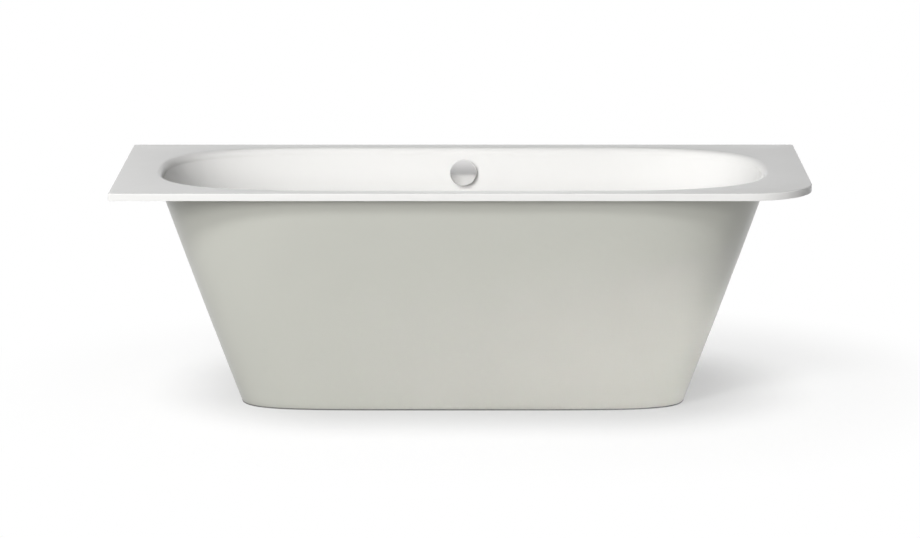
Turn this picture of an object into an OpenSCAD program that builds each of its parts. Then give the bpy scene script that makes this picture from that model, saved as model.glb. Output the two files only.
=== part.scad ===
// Built-in bathtub for a corner niche, with a tapered panel and a rotary overflow control.
// Origin on the floor under the middle of the tub. The back wall is at +Y, the left wall at -X.

/* [Rim] */
// Length of the rim along the back wall
tub_l = 1800; // [1700:1:2000]
// Depth of the rim from the wall to the front edge
tub_w = 800; // [780:1:900]
// Height of the rim above the floor
tub_h = 590; // [570:1:620]
// Thickness of the enamelled sheet
wall = 3; // [2:0.1:4]
// Height of the turned-down rim edge
rim_edge_h = 19; // [14:1:24]
// Width of the flat rim in front of and behind the basin
rim_side = 43; // [40:1:60]
// Width of the flat rim at the two ends of the basin
rim_end = 97; // [94:1:120]
// Radius of the free front corner
rim_free_r = 170; // [60:1:180]
// Radius of the three corners that meet a wall or the panel line
rim_square_r = 6; // [5:0.5:12]
// Radius between the flat rim and its turned-down edge
rim_round = 3; // [1:0.5:4]

/* [Basin] */
// Height of the basin floor above the floor of the room
basin_floor_h = 120; // [118:1:160]
// Fall of the floor from the flat to the waste
floor_fall = 6; // [2:0.5:9]
// Half length of the straight stretch in the middle of the basin
straight = 300; // [200:1:340]
// Power of the superellipse of the basin's ends
corner_power = 2.85; // [2.4:0.05:3.2]
// Radius of the lip between the rim and the basin wall
lip_r = 17; // [12:1:20]
// Depth of the crease below the lip
crease_depth = 20; // [20:1:30]
// Slope of the end walls from the vertical, in degrees
end_slope = 25; // [20:1:28]
// Slope of the long walls from the vertical, in degrees
side_slope = 9; // [6:1:11]
// Blend radius between the end walls and the floor
end_blend = 100; // [70:1:120]
// Blend radius between the long walls and the floor
side_blend = 80; // [60:1:90]
// Radius round the waste where the floor begins to fall
fall_r = 170; // [120:1:180]

/* [Panel] */
// Distance of the panel's ends outside the opening of the basin, under the rim
panel_end_out = 1; // [1:1:12]
// Distance of the panel's front outside the opening of the basin, under the rim
panel_front_out = 11; // [9:1:19]
// Inward run of the panel's ends from the rim to the floor
panel_end_run = 221; // [190:1:226]
// Inward run of the panel's front from the rim to the floor
panel_front_run = 85; // [60:1:88]
// Thickness of the panel
panel_wall = 4; // [3:0.5:5]
// Power of the superellipse of the panel's lower corners
panel_foot_power = 5.6; // [4:0.1:6]
// Height of the floor seal under the panel
seal_h = 3; // [2:0.5:5]
// Thickness of the mounting tape under the rim
tape_h = 1.5; // [1:0.1:3]
// Gap between the panel's wings and the rim edge at the back wall
wing_gap = 0.5; // [0.5:0.5:6]

/* [Waste] */
// Bore for the waste in the basin floor
waste_bore = 52; // [50:0.5:54]
// Diameter of the waste flange
waste_flange_d = 70; // [68:1:76]
// Diameter of the plug
plug_d = 62; // [58:1:64]
// Diameter of the plug's stem
stem_d = 7; // [6:0.5:9]
// Lift of the plug
plug_lift = 13; // [8:1:14]
// Outer diameter of the waste body
waste_body_d = 60; // [60:1:64]
// Outer diameter of the trap bowl
trap_d = 92; // [88:1:100]
// Outer diameter of the outlet pipe
outlet_d = 40; // [38:1:42]
// Straight run of the outlet pipe between its union nut and its bend
outlet_run = 0; // [0:1:40]
// Distance from the waste to the mouth of the outlet
outlet_y = 150; // [120:1:260]

/* [Overflow] */
// Depth of the overflow's centre below the rim
overflow_depth = 67; // [62:1:80]
// Bore for the overflow in the back wall of the basin
overflow_bore = 52; // [50:0.5:54]
// Diameter of the overflow knob
knob_d = 72; // [70:1:80]
// Height of the knob's face over the basin wall
knob_h = 20; // [18:0.5:24]
// Gap behind the knob for the overflowing water
knob_gap = 5; // [4.5:0.5:7]
// Turn of the knob from shut to open, in degrees
knob_turn = 110; // [60:1:120]
// Diameter of the knob's spindle
spindle_d = 8; // [7:0.5:9]
// Number of teeth on the spindle's pinion
pinion_teeth = 12; // [11:1:13]
// Module of the pinion and the rack
gear_module = 1.25; // [1.15:0.05:1.3]
// Outer diameter of the overflow pipe
pipe_d = 28; // [25:0.5:28]
// Bend radius of the overflow pipe
pipe_bend = 45; // [40:1:60]

/* [Feet] */
// Distance of each foot rail from the middle of the tub
rail_x = 330; // [250:1:380]
// Half length of a foot rail
rail_half = 236; // [230:1:240]
// Width of a foot rail
rail_w = 40; // [36:1:46]
// Height of a foot rail
rail_h = 25; // [22:1:28]
// Thickness of the rail sheet
rail_t = 2; // [1.5:0.1:3]
// Distance of each foot from the middle of the rail
foot_y = 205; // [180:1:210]
// Thread diameter of a levelling foot
foot_thread = 10; // [8:0.5:12]
// Diameter of a foot plate
foot_plate_d = 44; // [36:1:50]
// Thickness of the glue pads on the rails
pad_t = 4; // [2:0.5:6]

/* [Wall anchors] */
// Distance of each back anchor from the middle of the tub
anchor_x = 520; // [400:1:700]
// Place of the left anchor along the left wall
anchor_y = 180; // [-100:1:200]
// Width of a wall anchor
anchor_w = 50; // [40:1:70]
// Distance between the two screw holes of an anchor
anchor_hole_gap = 28; // [20:1:30]
// Diameter of the screw holes
anchor_hole = 7; // [5:0.5:8]

/* [Hidden] */

// Running clearance on a radius
fit = 0.08;
// Clearance between pieces that must not touch
gap = 0.3;
// Facets of a full round
round_n = 64;
// Steps of a quarter of the basin outline
quarter = 16;
// Steps along a rim edge before its corner begins
edge_steps = 4;
// Steps of the lip and of the floor blend
lip_steps = 4;
blend_steps = 5;

open_l = tub_l / 2 - rim_end;
open_w = tub_w / 2 - rim_side;
back = tub_w / 2;
left = -tub_l / 2;
floor_z = basin_floor_h;
basin_depth = tub_h - basin_floor_h;
waste_z = floor_z - floor_fall;
waste_under = waste_z - wall;
base_z = floor_z - wall;
rim_under = tub_h - wall;

// Centre of the floor blend, measured in from the opening's edge
function blend_inset(slope, r) =
    lip_r + (basin_depth - r + r * sin(slope) - crease_depth) * tan(slope) + r * cos(slope);

// Profile of the basin wall as inset and depth, offset outwards by o
function profile(slope, r, o) = concat(
    [for (i = [0 : lip_steps]) let (a = 90 * i / lip_steps)
        [(lip_r - o) * sin(a), lip_r - (lip_r - o) * cos(a)]],
    [[lip_r - o, crease_depth + o * tan(slope / 2)]],
    [for (i = [0 : blend_steps]) let (a = slope + (90 - slope) * i / blend_steps)
        [blend_inset(slope, r) - (r + o) * cos(a), basin_depth - r + (r + o) * sin(a)]]
);

// Order of the points round the tub: x side, y side and step from the end to the middle
turn = concat(
    [for (j = [0 : quarter]) [1, 1, j]],
    [for (j = [quarter : -1 : 0]) [-1, 1, j]],
    [for (j = [1 : quarter]) [-1, -1, j]],
    [for (j = [quarter : -1 : 1]) [1, -1, j]]
);
ring_n = len(turn);

function basin_point(q, end, side) =
    let (t = 90 * q[2] / quarter, w = cos(t) * cos(t))
    [q[0] * (straight + (open_l - end[0] - straight) * pow(cos(t), 2 / corner_power)),
     q[1] * (open_w - side[0]) * pow(sin(t), 2 / corner_power),
     tub_h - end[1] * w - side[1] * (1 - w)];

function corner_r(q) = q[0] > 0 && q[1] < 0 ? rim_free_r : rim_square_r;

// Point of the rim outline, moved in by i
function rim_point(q, i, z) =
    let (r = corner_r(q) - i, hl = tub_l / 2 - i, hw = tub_w / 2 - i, last = quarter - edge_steps,
         j = q[2], a = 90 * (j - edge_steps) / (last - edge_steps))
    j <= edge_steps ? [q[0] * hl, q[1] * (hw - r) * j / edge_steps, z]
    : j < last ? [q[0] * (hl - r + r * cos(a)), q[1] * (hw - r + r * sin(a)), z]
    : [q[0] * (straight + (hl - r - straight) * (quarter - j) / edge_steps), q[1] * hw, z];

function circle_point(q, r, z) =
    let (a = 90 * q[2] / (quarter + 0.5))
    [q[0] * r * cos(a), q[1] * r * sin(a), z];

function basin_rings(o) =
    let (end = profile(end_slope, end_blend, o), side = profile(side_slope, side_blend, o))
    concat(
        [for (k = [0 : len(end) - 1]) [for (q = turn) basin_point(q, end[k], side[k])]],
        [[for (q = turn) circle_point(q, fall_r, floor_z - o)]],
        [[for (q = turn) circle_point(q, waste_flange_d / 2 + 12, waste_z - o)]]
    );

function flat(lists) = [for (list = lists) for (item = list) item];

// Triangles between two rings that start at a and b
function band(n, a, b) = [for (i = [0 : n - 1]) let (k = (i + 1) % n)
    each [[a + i, b + k, a + k], [a + i, b + i, b + k]]];

// Pressed sheet tub: from the outer foot of the rim edge over the lip into the basin, and back under it
module tub_sheet() {
    rim_rings = [
        [for (q = turn) rim_point(q, 0, tub_h - rim_edge_h)],
        [for (q = turn) rim_point(q, 0, tub_h - rim_round)],
        [for (q = turn) rim_point(q, rim_round * (1 - cos(45)), tub_h - rim_round * (1 - sin(45)))],
        [for (q = turn) rim_point(q, rim_round, tub_h)]
    ];
    under_rings = [
        [for (q = turn) rim_point(q, wall, tub_h - rim_edge_h)],
        [for (q = turn) rim_point(q, wall, rim_under)]
    ];
    top = concat(rim_rings, basin_rings(0));
    under = concat(under_rings, basin_rings(wall));
    nt = len(top);
    nu = len(under);
    points = concat(flat(top), flat(under), [[0, 0, waste_z], [0, 0, waste_under]]);
    start = nt * ring_n;
    centre = (nt + nu) * ring_n;
    polyhedron(points, concat(
        flat([for (k = [0 : nt - 2]) band(ring_n, k * ring_n, (k + 1) * ring_n)]),
        [for (i = [0 : ring_n - 1]) [(nt - 1) * ring_n + i, centre, (nt - 1) * ring_n + (i + 1) % ring_n]],
        flat([for (k = [0 : nu - 2]) band(ring_n, start + (k + 1) * ring_n, start + k * ring_n)]),
        [for (i = [0 : ring_n - 1])
            [start + (nu - 1) * ring_n + (i + 1) % ring_n, centre + 1, start + (nu - 1) * ring_n + i]],
        band(ring_n, start, 0)
    ), convexity = 10);
}

overflow_inset = lip_r + (overflow_depth - crease_depth) * tan(side_slope);
overflow_y = open_w - overflow_inset;
overflow_z = tub_h - overflow_depth;

// Places a piece on the back wall at the overflow, +Z out of the wall into the basin, +Y up the wall
module at_overflow() {
    translate([0, overflow_y, overflow_z]) rotate([90 - side_slope, 0, 0]) children();
}

// Ring or tube on the Z axis
module tube(d, bore, z0, z1, n = round_n) {
    translate([0, 0, z0]) difference() {
        cylinder(d = d, h = z1 - z0, $fn = n);
        translate([0, 0, -1]) cylinder(d = bore, h = z1 - z0 + 2, $fn = n);
    }
}

module rod(d, z0, z1, n = round_n) {
    translate([0, 0, z0]) cylinder(d = d, h = z1 - z0, $fn = n);
}

module tub_shell() {
    color("white") difference() {
        tub_sheet();
        rod(waste_bore, waste_under - 5, waste_z + 5);
        at_overflow() rod(overflow_bore, -wall - 5, 5);
    }
}

// Panel: half lengths and half depths under the rim and at the floor
panel_top_l = open_l + panel_end_out;
panel_top_w = open_w + panel_front_out;
panel_foot_l = panel_top_l - panel_end_run;
panel_foot_w = panel_top_w - panel_front_run;
panel_top = rim_under - tape_h;
panel_steps = 6;
panel_quarter = 16;
foot_straight = 20;
wing_back = back - wall - wing_gap;

function mix(a, b, s) = a + (b - a) * s;

// Point of the panel's outline at height share s from the rim to the floor, moved in by o
function panel_point(sx, j, s, o) =
    let (t = 90 * j / panel_quarter, a = mix(panel_top_l, panel_foot_l, s) - o,
         b = mix(panel_top_w, panel_foot_w, s) - o, c = mix(straight, foot_straight, s),
         n = mix(corner_power, panel_foot_power, s))
    [sx * (c + (a - c) * pow(cos(t), 2 / n)), -b * pow(sin(t), 2 / n)];

// Panel line from the right wing at the wall round the front to the left wing
function panel_line(s, o) =
    let (a = mix(panel_top_l, panel_foot_l, s) - o)
    concat(
        [[a, wing_back]],
        [for (j = [0 : panel_quarter]) panel_point(1, j, s, o)],
        [for (j = [panel_quarter : -1 : 0]) panel_point(-1, j, s, o)],
        [[-a, wing_back]]
    );
function panel_loop(s, o0, o1) =
    let (outer = panel_line(s, o0), inner = panel_line(s, o1), n = len(inner))
    concat(outer, [for (i = [n - 1 : -1 : 0]) inner[i]]);

panel_n = 2 * panel_quarter + 4;

function at_z(line, z) = [for (p = line) [p[0], p[1], z]];

module front_panel() {
    rings = [for (k = [0 : panel_steps]) let (s = k / panel_steps)
        at_z(panel_loop(s, 0, panel_wall), mix(panel_top, seal_h, s))];
    n = 2 * panel_n;
    color([0.77, 0.77, 0.74]) polyhedron(flat(rings), concat(
        flat([for (k = [0 : panel_steps - 1]) band(n, k * n, (k + 1) * n)]),
        [for (i = [0 : panel_n - 2]) each [[i, n - 2 - i, n - 1 - i], [i, i + 1, n - 2 - i]]],
        [for (i = [0 : panel_n - 2]) let (b = panel_steps * n)
            each [[b + i, b + n - 1 - i, b + n - 2 - i], [b + i, b + n - 2 - i, b + i + 1]]]
    ), convexity = 10);
}

module panel_floor_seal() {
    color("dimgray") linear_extrude(seal_h) polygon(panel_loop(1, 0.5, panel_wall + 2));
}

// Thin bond between a piece and the sheet that carries it
bond = 0.05;

// Fall of the first facet of the lip's underside at distance i inside the edge of the opening
function lip_fall(i) = max(0, i) * tan(45 / lip_steps);

// Mounting tape along the panel's top, thinner on its inner side, where the lip of the basin begins to fall
module panel_top_tape() {
    outer = 0.5;
    inner = panel_wall - 0.5;
    level = min(panel_end_out, inner);
    low = rim_under - lip_fall(inner - panel_end_out) - bond;
    section = [[outer, panel_top], [outer, rim_under], [level, rim_under], [inner, low], [inner, panel_top]];
    n = len(section);
    color("gray") polyhedron(flat([for (p = section) at_z(panel_line(0, p[0]), p[1])]), concat(
        [for (k = [0 : n - 1], i = [0 : panel_n - 2])
            let (a = k * panel_n + i, b = (k + 1) % n * panel_n + i)
            each [[a, a + 1, b + 1], [a, b + 1, b]]],
        [[for (k = [0 : n - 1]) k * panel_n], [for (k = [n - 1 : -1 : 0]) k * panel_n + panel_n - 1]]
    ), convexity = 10);
}

// Foot rails: folded channels, open at the top, with the nuts under the web
rail_top = base_z - pad_t;
rail_web = rail_top - rail_h;
nut_af = foot_thread * 1.7;
nut_h = 8;
web_hole = foot_thread + 2;

module foot_rail(x) {
    color("silver") translate([x, 0, 0]) difference() {
        translate([0, rail_half, 0]) rotate([90, 0, 0]) linear_extrude(2 * rail_half) polygon([
            [-rail_w / 2, rail_top], [-rail_w / 2, rail_web], [rail_w / 2, rail_web], [rail_w / 2, rail_top],
            [rail_w / 2 - rail_t, rail_top], [rail_w / 2 - rail_t, rail_web + rail_t],
            [-rail_w / 2 + rail_t, rail_web + rail_t], [-rail_w / 2 + rail_t, rail_top]
        ]);
        for (y = [-foot_y, foot_y]) translate([0, y, 0]) rod(web_hole, rail_web - 1, rail_web + rail_t + 1);
    }
}

module foot_rail_left() { foot_rail(-rail_x); }
module foot_rail_right() { foot_rail(rail_x); }

pad_l = 110;
pad_y = 90;

module rail_glue_pads() {
    for (x = [-rail_x, rail_x], y = [-pad_y, pad_y])
        color("dimgray") translate([x - rail_w / 2, y - pad_l / 2, rail_top]) cube([rail_w, pad_l, pad_t]);
}

// Nut with six flats on the Z axis
module hex_nut(af, bore, z0, h) {
    translate([0, 0, z0]) difference() {
        cylinder(d = af / cos(30), h = h, $fn = 6);
        translate([0, 0, -1]) cylinder(d = bore, h = h + 2, $fn = 48);
    }
}

module at_feet() {
    for (x = [-rail_x, rail_x], y = [-foot_y, foot_y]) translate([x, y, 0]) children();
}

module rail_nuts() {
    color("silver") at_feet() hex_nut(nut_af, foot_thread + 2 * fit, rail_web - nut_h, nut_h);
}

module lock_nuts() {
    color("silver") at_feet() hex_nut(nut_af, foot_thread + 2 * fit, rail_web - 2 * nut_h, nut_h);
}

plate_h = 10;
foot_up = 8;
spindle_top = rail_top - 4;

module foot_spindle(x, y) {
    ball = foot_thread + 4;
    color("silver") translate([x, y, 0]) {
        rod(foot_thread, plate_h / 2, spindle_top, 48);
        rod(ball, plate_h / 2 - 1, plate_h - 1, 48);
    }
}

module foot_plate(x, y) {
    socket = foot_thread + 4;
    color("black") translate([x, y, 0]) difference() {
        rotate_extrude($fn = round_n) polygon([
            [0, 0], [foot_plate_d / 2, 0], [foot_plate_d / 2, 3], [foot_plate_d / 2 - 6, 6], [socket / 2 + 3, plate_h],
            [0, plate_h]
        ]);
        rod(socket + 2 * fit, plate_h / 2 - 1 - fit, plate_h + 1, 48);
    }
}

module foot_spindle_front_left() { foot_spindle(-rail_x, -foot_y); }
module foot_spindle_front_right() { foot_spindle(rail_x, -foot_y); }
module foot_spindle_back_left() { foot_spindle(-rail_x, foot_y); }
module foot_spindle_back_right() { foot_spindle(rail_x, foot_y); }
module foot_plate_front_left() { foot_plate(-rail_x, -foot_y); }
module foot_plate_front_right() { foot_plate(rail_x, -foot_y); }
module foot_plate_back_left() { foot_plate(-rail_x, foot_y); }
module foot_plate_back_right() { foot_plate(rail_x, foot_y); }

// Half depth of the panel at x and height z, moved in by o
function panel_reach(x, z, o) =
    let (s = (panel_top - z) / (panel_top - seal_h), a = mix(panel_top_l, panel_foot_l, s) - o,
         b = mix(panel_top_w, panel_foot_w, s) - o, c = mix(straight, foot_straight, s),
         n = mix(corner_power, panel_foot_power, s), u = max(0, (x - c) / (a - c)))
    b * pow(1 - pow(u, n), 1 / n);

// Panel brackets: angles from the rails to the inside of the panel's front
bracket_t = 2;
bracket_w = 24;
bracket_h = 20;
foot_margin = rail_half - foot_y - nut_af / 2 / cos(30);
bracket_low = rail_web - bracket_h;
bracket_in = foot_margin - 3;
panel_screw_d = 4;

module panel_bracket(x) {
    edge = abs(x) + bracket_w / 2;
    top = -panel_reach(edge, rail_web, panel_wall + 2 * gap);
    low = -panel_reach(edge, bracket_low, panel_wall + 2 * gap);
    color("silver") translate([x - bracket_w / 2, 0, 0]) difference() {
        rotate([90, 0, 90]) linear_extrude(bracket_w) polygon([
            [-rail_half + bracket_in, rail_web], [top, rail_web], [low, bracket_low],
            [low + bracket_t, bracket_low], [top + bracket_t, rail_web - bracket_t],
            [-rail_half + bracket_in, rail_web - bracket_t]
        ]);
        translate([bracket_w / 2, top, rail_web - bracket_h / 2]) rotate([90, 0, 0]) rod(panel_screw_d, -10, 10, 32);
    }
}
module panel_bracket_left() { panel_bracket(-rail_x); }
module panel_bracket_right() { panel_bracket(rail_x); }

module panel_screws() {
    z = rail_web - bracket_h / 2;
    face = -panel_reach(rail_x, z, panel_wall + 2 * gap);
    for (x = [-rail_x, rail_x]) color("silver") translate([x, face, z]) rotate([-90, 0, 0]) {
        rod(panel_screw_d - 0.4, 0, bracket_t + 4 * gap + 1, 32);
        rod(panel_screw_d + 4, bracket_t + 4 * gap + 0.3, bracket_t + 4 * gap + 3, 32);
    }
}

// Wall side of the panel: angles that hold each wing to the wall
wing_bracket_z = 300;
wing_bracket_h = 60;
wing_flat = 30;
wing_leg = 26;
wing_hole = 5;

function panel_end(z, o) = mix(panel_top_l, panel_foot_l, (panel_top - z) / (panel_top - seal_h)) - o;

module wing_brackets() {
    low = panel_end(wing_bracket_z, panel_wall + bond);
    high = panel_end(wing_bracket_z + wing_bracket_h, panel_wall + bond);
    for (side = [0, 1]) color("silver") mirror([side, 0, 0]) difference() {
        union() {
            translate([0, back, 0]) rotate([90, 0, 0]) linear_extrude(bracket_t) polygon([
                [low - wing_flat, wing_bracket_z], [low, wing_bracket_z], [high, wing_bracket_z + wing_bracket_h],
                [low - wing_flat, wing_bracket_z + wing_bracket_h]
            ]);
            translate([0, back, 0]) rotate([90, 0, 0]) linear_extrude(wing_leg) polygon([
                [low - bracket_t, wing_bracket_z], [low, wing_bracket_z], [high, wing_bracket_z + wing_bracket_h],
                [high - bracket_t, wing_bracket_z + wing_bracket_h]
            ]);
        }
        translate([low - (wing_flat + bracket_t) / 2, back, wing_bracket_z + wing_bracket_h / 2]) rotate([90, 0, 0])
            rod(wing_hole, -bracket_t - 1, bracket_t + 1, 32);
    }
}

// Wall anchors: plates screwed to the wall under the rim, with a tongue behind the rim edge
anchor_rubber = 4;
anchor_top = tub_h - rim_edge_h - anchor_rubber;
anchor_h = 86;
anchor_foot = anchor_top - anchor_h;
anchor_hole_up = 24;
anchor_hole_z = anchor_foot + anchor_hole_up;
anchor_t = 3;
tongue_drop = 16;
tongue_in = wall + anchor_t;
tongue_top = rim_under - gap;

module anchor_plate() {
    step = anchor_top - tongue_drop;
    tongue_out = tongue_in + anchor_t;
    color("silver") difference() {
        translate([-anchor_w / 2, 0, 0]) rotate([90, 0, 90]) linear_extrude(anchor_w) polygon([
            [0, anchor_foot], [0, anchor_top], [-anchor_t, anchor_top], [-anchor_t, step], [-tongue_in, step],
            [-tongue_in, tongue_top], [-tongue_out, tongue_top], [-tongue_out, step - anchor_t],
            [-anchor_t, step - anchor_t], [-anchor_t, anchor_foot]
        ]);
        for (x = [-1, 1]) translate([x * anchor_hole_gap / 2, 0, anchor_hole_z]) rotate([90, 0, 0])
            rod(anchor_hole, -5, 5, 48);
    }
}

module at_back_anchors() {
    for (x = [-anchor_x, anchor_x]) translate([x, back, 0]) children();
}
module at_left_anchor() {
    translate([left, anchor_y, 0]) rotate([0, 0, 90]) children();
}

module wall_anchors_back() { at_back_anchors() anchor_plate(); }
module wall_anchor_left() { at_left_anchor() anchor_plate(); }

// Rubber profiles between the anchors and the rim edge
module anchor_profile() {
    color("black") translate([-anchor_w / 2, -anchor_t, anchor_top]) cube([anchor_w, anchor_t, anchor_rubber]);
}
module anchor_profiles() {
    at_back_anchors() anchor_profile();
    at_left_anchor() anchor_profile();
}

// Earthing lug welded under the floor near the left end
lug_x = -440;
lug_y = 100;
lug_h = 24;

module earthing_lug() {
    color("silver") translate([lug_x - 1, lug_y, base_z - lug_h]) difference() {
        cube([2, 22, lug_h]);
        translate([0, 11, 9]) rotate([0, 90, 0]) rod(6.4, -1, 3, 32);
    }
}
module earthing_bolt() {
    color("silver") translate([lug_x, lug_y + 11, base_z - lug_h + 9]) rotate([0, 90, 0]) {
        rod(6, -6, 14, 32);
        hex_nut(10, 5.9, 1, 5);
        translate([0, 0, -5]) cylinder(d = 10 / cos(30), h = 4, $fn = 6);
    }
}

// Bituminous sound pads under the floor and on the front of the basin
sound_t = 2.5;
sound_floor_x = 425;
sound_floor = [90, 160, sound_t];
sound_front = [240, 150, sound_t];
sound_front_low = 260;

module sound_pads() {
    color("dimgray") {
        for (x = [-1, 1]) translate([x * sound_floor_x - sound_floor[0] / 2, -sound_floor[1] / 2, base_z - sound_t])
            cube(sound_floor);
        mirror([0, 1, 0]) translate([0, open_w - lip_r, tub_h - crease_depth]) rotate([90 - side_slope, 0, 0])
            translate([-sound_front[0] / 2, -sound_front_low, -wall - sound_t - bond]) cube(sound_front);
    }
}

// Waste, from the basin floor down
cup_gasket_h = 1.5;
flange_z = waste_z + cup_gasket_h;
flange_h = 3;
flange_top = flange_z + flange_h;
throat_r = 22;
seat_r = 28;
seat_z = flange_z - 1.5;
guide_drop = 19;
guide_z = waste_under - guide_drop;
flange_tube_d = waste_bore - 2;
shaft_y = 18;
shaft_drop = 31;
shaft_z = waste_under - shaft_drop;
lever_tip_r = 3;
lever_angle = asin(plug_lift / 2 / shaft_y);
stem_z = shaft_z - plug_lift / 2 + lever_tip_r + gap;

module cup_gasket() { color("black") tube(waste_flange_d - 2, waste_bore + 1, waste_z, flange_z); }

module waste_flange() {
    color("silver") {
        rotate_extrude($fn = round_n) polygon([
            [throat_r, guide_z], [flange_tube_d / 2, guide_z], [flange_tube_d / 2, flange_z],
            [waste_flange_d / 2, flange_z], [waste_flange_d / 2, flange_top - 1],
            [waste_flange_d / 2 - 1, flange_top], [seat_r, flange_top], [throat_r, seat_z]
        ]);
        difference() {
            union() {
                rod(stem_d + 8, guide_z, guide_z + 6);
                for (a = [90, 210, 330]) rotate([0, 0, a]) translate([0, -2, guide_z])
                    cube([throat_r + 1, 4, 5]);
            }
            rod(stem_d + 2 * fit, guide_z - 1, guide_z + 8, 48);
        }
    }
}

seal_low = flange_top - 2;
seal_r = throat_r + (seat_r - throat_r) * (seal_low - seat_z) / (flange_top - seat_z) - 1.5 * gap;
plug_z = flange_top + gap;
plug_neck_d = 22;
seal_bore_r = plug_neck_d / 2 + 1;

module plug_seal() {
    color("black") rotate_extrude($fn = round_n) polygon([
        [seal_bore_r, seal_low], [seal_r, seal_low], [seat_r - 1.5 * gap, flange_top], [seat_r - 1.5 * gap, plug_z],
        [seal_bore_r, plug_z]
    ]);
}

// Slightly domed plug with its stem
module plug() {
    r = plug_d / 2;
    dome = 3;
    ball = (r * r + dome * dome) / (2 * dome);
    color("silver") {
        rotate_extrude($fn = round_n) polygon(concat(
            [[0, plug_z], [r - 0.5, plug_z], [r, plug_z + 0.5]],
            [for (k = [0 : 8]) let (x = r * (1 - k / 8))
                [x, plug_z + 1.5 + sqrt(ball * ball - x * x) - (ball - dome)]]
        ));
        rod(plug_neck_d, seal_low, plug_z + 0.5);
        rod(stem_d, stem_z, plug_z + 0.5, 48);
    }
}

clamp_h = 2.5;
body_top = waste_under - clamp_h;
cup_drop = 51;
cup_bottom = waste_under - cup_drop;
cup_floor = 4;
cup_wall = 3;
dip_d = 44;
dip_wall = 2;
dip_drop = 97;
dip_z = waste_under - dip_drop;
collar_d = waste_body_d + 4;
inlet_drop = 27;
inlet_z = waste_under - inlet_drop;
pipe_x = 10;
socket_d = pipe_d + 6;
inlet_y = 62;
inlet_stop = 46;
arm_x = -44;
arm_t = 5;
cable_travel = knob_turn * PI / 180 * pinion_teeth * gear_module / 2;
arm_r = cable_travel / 2 / sin(lever_angle);
cable_x = arm_x - 4;
cable_z = shaft_z - arm_r;
pin_d = 4;
ferrule_d = 8;
ferrule_y = 42;
ferrule_l = 30;
boss_d = 14;
shaft_d = 6;

module clamp_gasket() { color("black") tube(waste_flange_d + 6, waste_bore + 2, body_top, waste_under); }

module waste_body() {
    color([0.25, 0.25, 0.27]) difference() {
        union() {
            rod(waste_flange_d + 10, body_top - 4, body_top);
            rod(waste_body_d, cup_bottom, body_top);
            rod(collar_d, cup_bottom, cup_bottom + cup_floor);
            rod(dip_d, dip_z, cup_bottom + 1);
            translate([pipe_x, 0, inlet_z]) rotate([-90, 0, 0]) rod(socket_d, 0, inlet_y);
            translate([0, shaft_y, shaft_z]) rotate([0, -90, 0]) rod(boss_d, 10, -arm_x - arm_t - gap);
            translate([cable_x - 5, ferrule_y, cable_z - 6]) cube([pipe_x - cable_x + 5, 8, 12]);
            translate([pipe_x - 8, ferrule_y, cable_z - 6]) cube([8, 8, inlet_z - cable_z]);
        }
        rod(waste_body_d - 2 * cup_wall, cup_bottom + cup_floor, body_top + 1);
        rod(dip_d - 2 * dip_wall, dip_z - 1, cup_bottom + cup_floor + 1);
        translate([pipe_x, 0, inlet_z]) rotate([-90, 0, 0]) {
            rod(pipe_d - 4, 15, inlet_stop + 1);
            rod(pipe_d + 2 * fit, inlet_stop, inlet_y + 1);
        }
        translate([0, shaft_y, shaft_z]) rotate([0, -90, 0]) rod(shaft_d + 2 * fit, 0, -arm_x, 48);
        translate([cable_x, ferrule_y, cable_z]) rotate([-90, 0, 0]) rod(ferrule_d, -1, 9, 48);
    }
}

// Two-armed lifter: the short arm lifts the stem, the long arm takes the cable
module lifter() {
    color("silver") translate([0, shaft_y, shaft_z]) rotate([lever_angle, 0, 0]) {
        rotate([0, -90, 0]) rod(shaft_d, -3, -arm_x, 48);
        translate([-3, -shaft_y, 1 - lever_tip_r]) cube([6, shaft_y, 2 * lever_tip_r - 2]);
        translate([0, -shaft_y, 0]) rotate([0, 90, 0]) rod(2 * lever_tip_r, -3, 3, 48);
        translate([arm_x, -4, -arm_r]) cube([arm_t, 8, arm_r]);
        translate([0, 0, -arm_r]) rotate([0, -90, 0]) rod(8, -arm_x - arm_t, -arm_x, 48);
        translate([0, 0, -arm_r]) rotate([0, -90, 0]) rod(pin_d, -arm_x - 1, -cable_x + 2.5, 48);
        rotate([0, -90, 0]) rod(12, -arm_x - arm_t, -arm_x, 48);
    }
}

// Trap: the dip pipe stands in the bowl behind a weir, so that water shuts off the drain
neck_d = waste_body_d + 6;
neck_bore = neck_d - 8;
trap_gasket_h = 2;
neck_top = cup_bottom - trap_gasket_h;
bowl_top = cup_bottom - 10;
bowl_bottom = 6;
bowl_wall = 3;
bowl_edge = 3;
outlet_z = bowl_bottom + 2 + outlet_d / 2;
outlet_wall = 3;
outlet_joint = trap_d / 2 + 30;
weir_x = trap_d / 2 - bowl_wall - 14;
weir_top = bowl_top - bowl_wall - 9;

module trap_union_nut() {
    d = neck_d + 10;
    lip = 2.5;
    color([0.25, 0.25, 0.27]) difference() {
        union() {
            rod(d, cup_bottom - 9, cup_bottom + cup_floor + lip);
            for (a = [0 : 30 : 359]) rotate([0, 0, a]) translate([d / 2 - 1, -2, cup_bottom - 9])
                cube([3, 4, cup_floor + lip + 9]);
        }
        rod(neck_d + 2 * fit, cup_bottom - 10, cup_bottom + cup_floor);
        rod(waste_body_d + 2 * fit, cup_bottom, cup_bottom + 20);
    }
}

module trap_gasket() { color("black") tube(neck_d - 1, dip_d + 1, neck_top, cup_bottom); }

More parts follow.
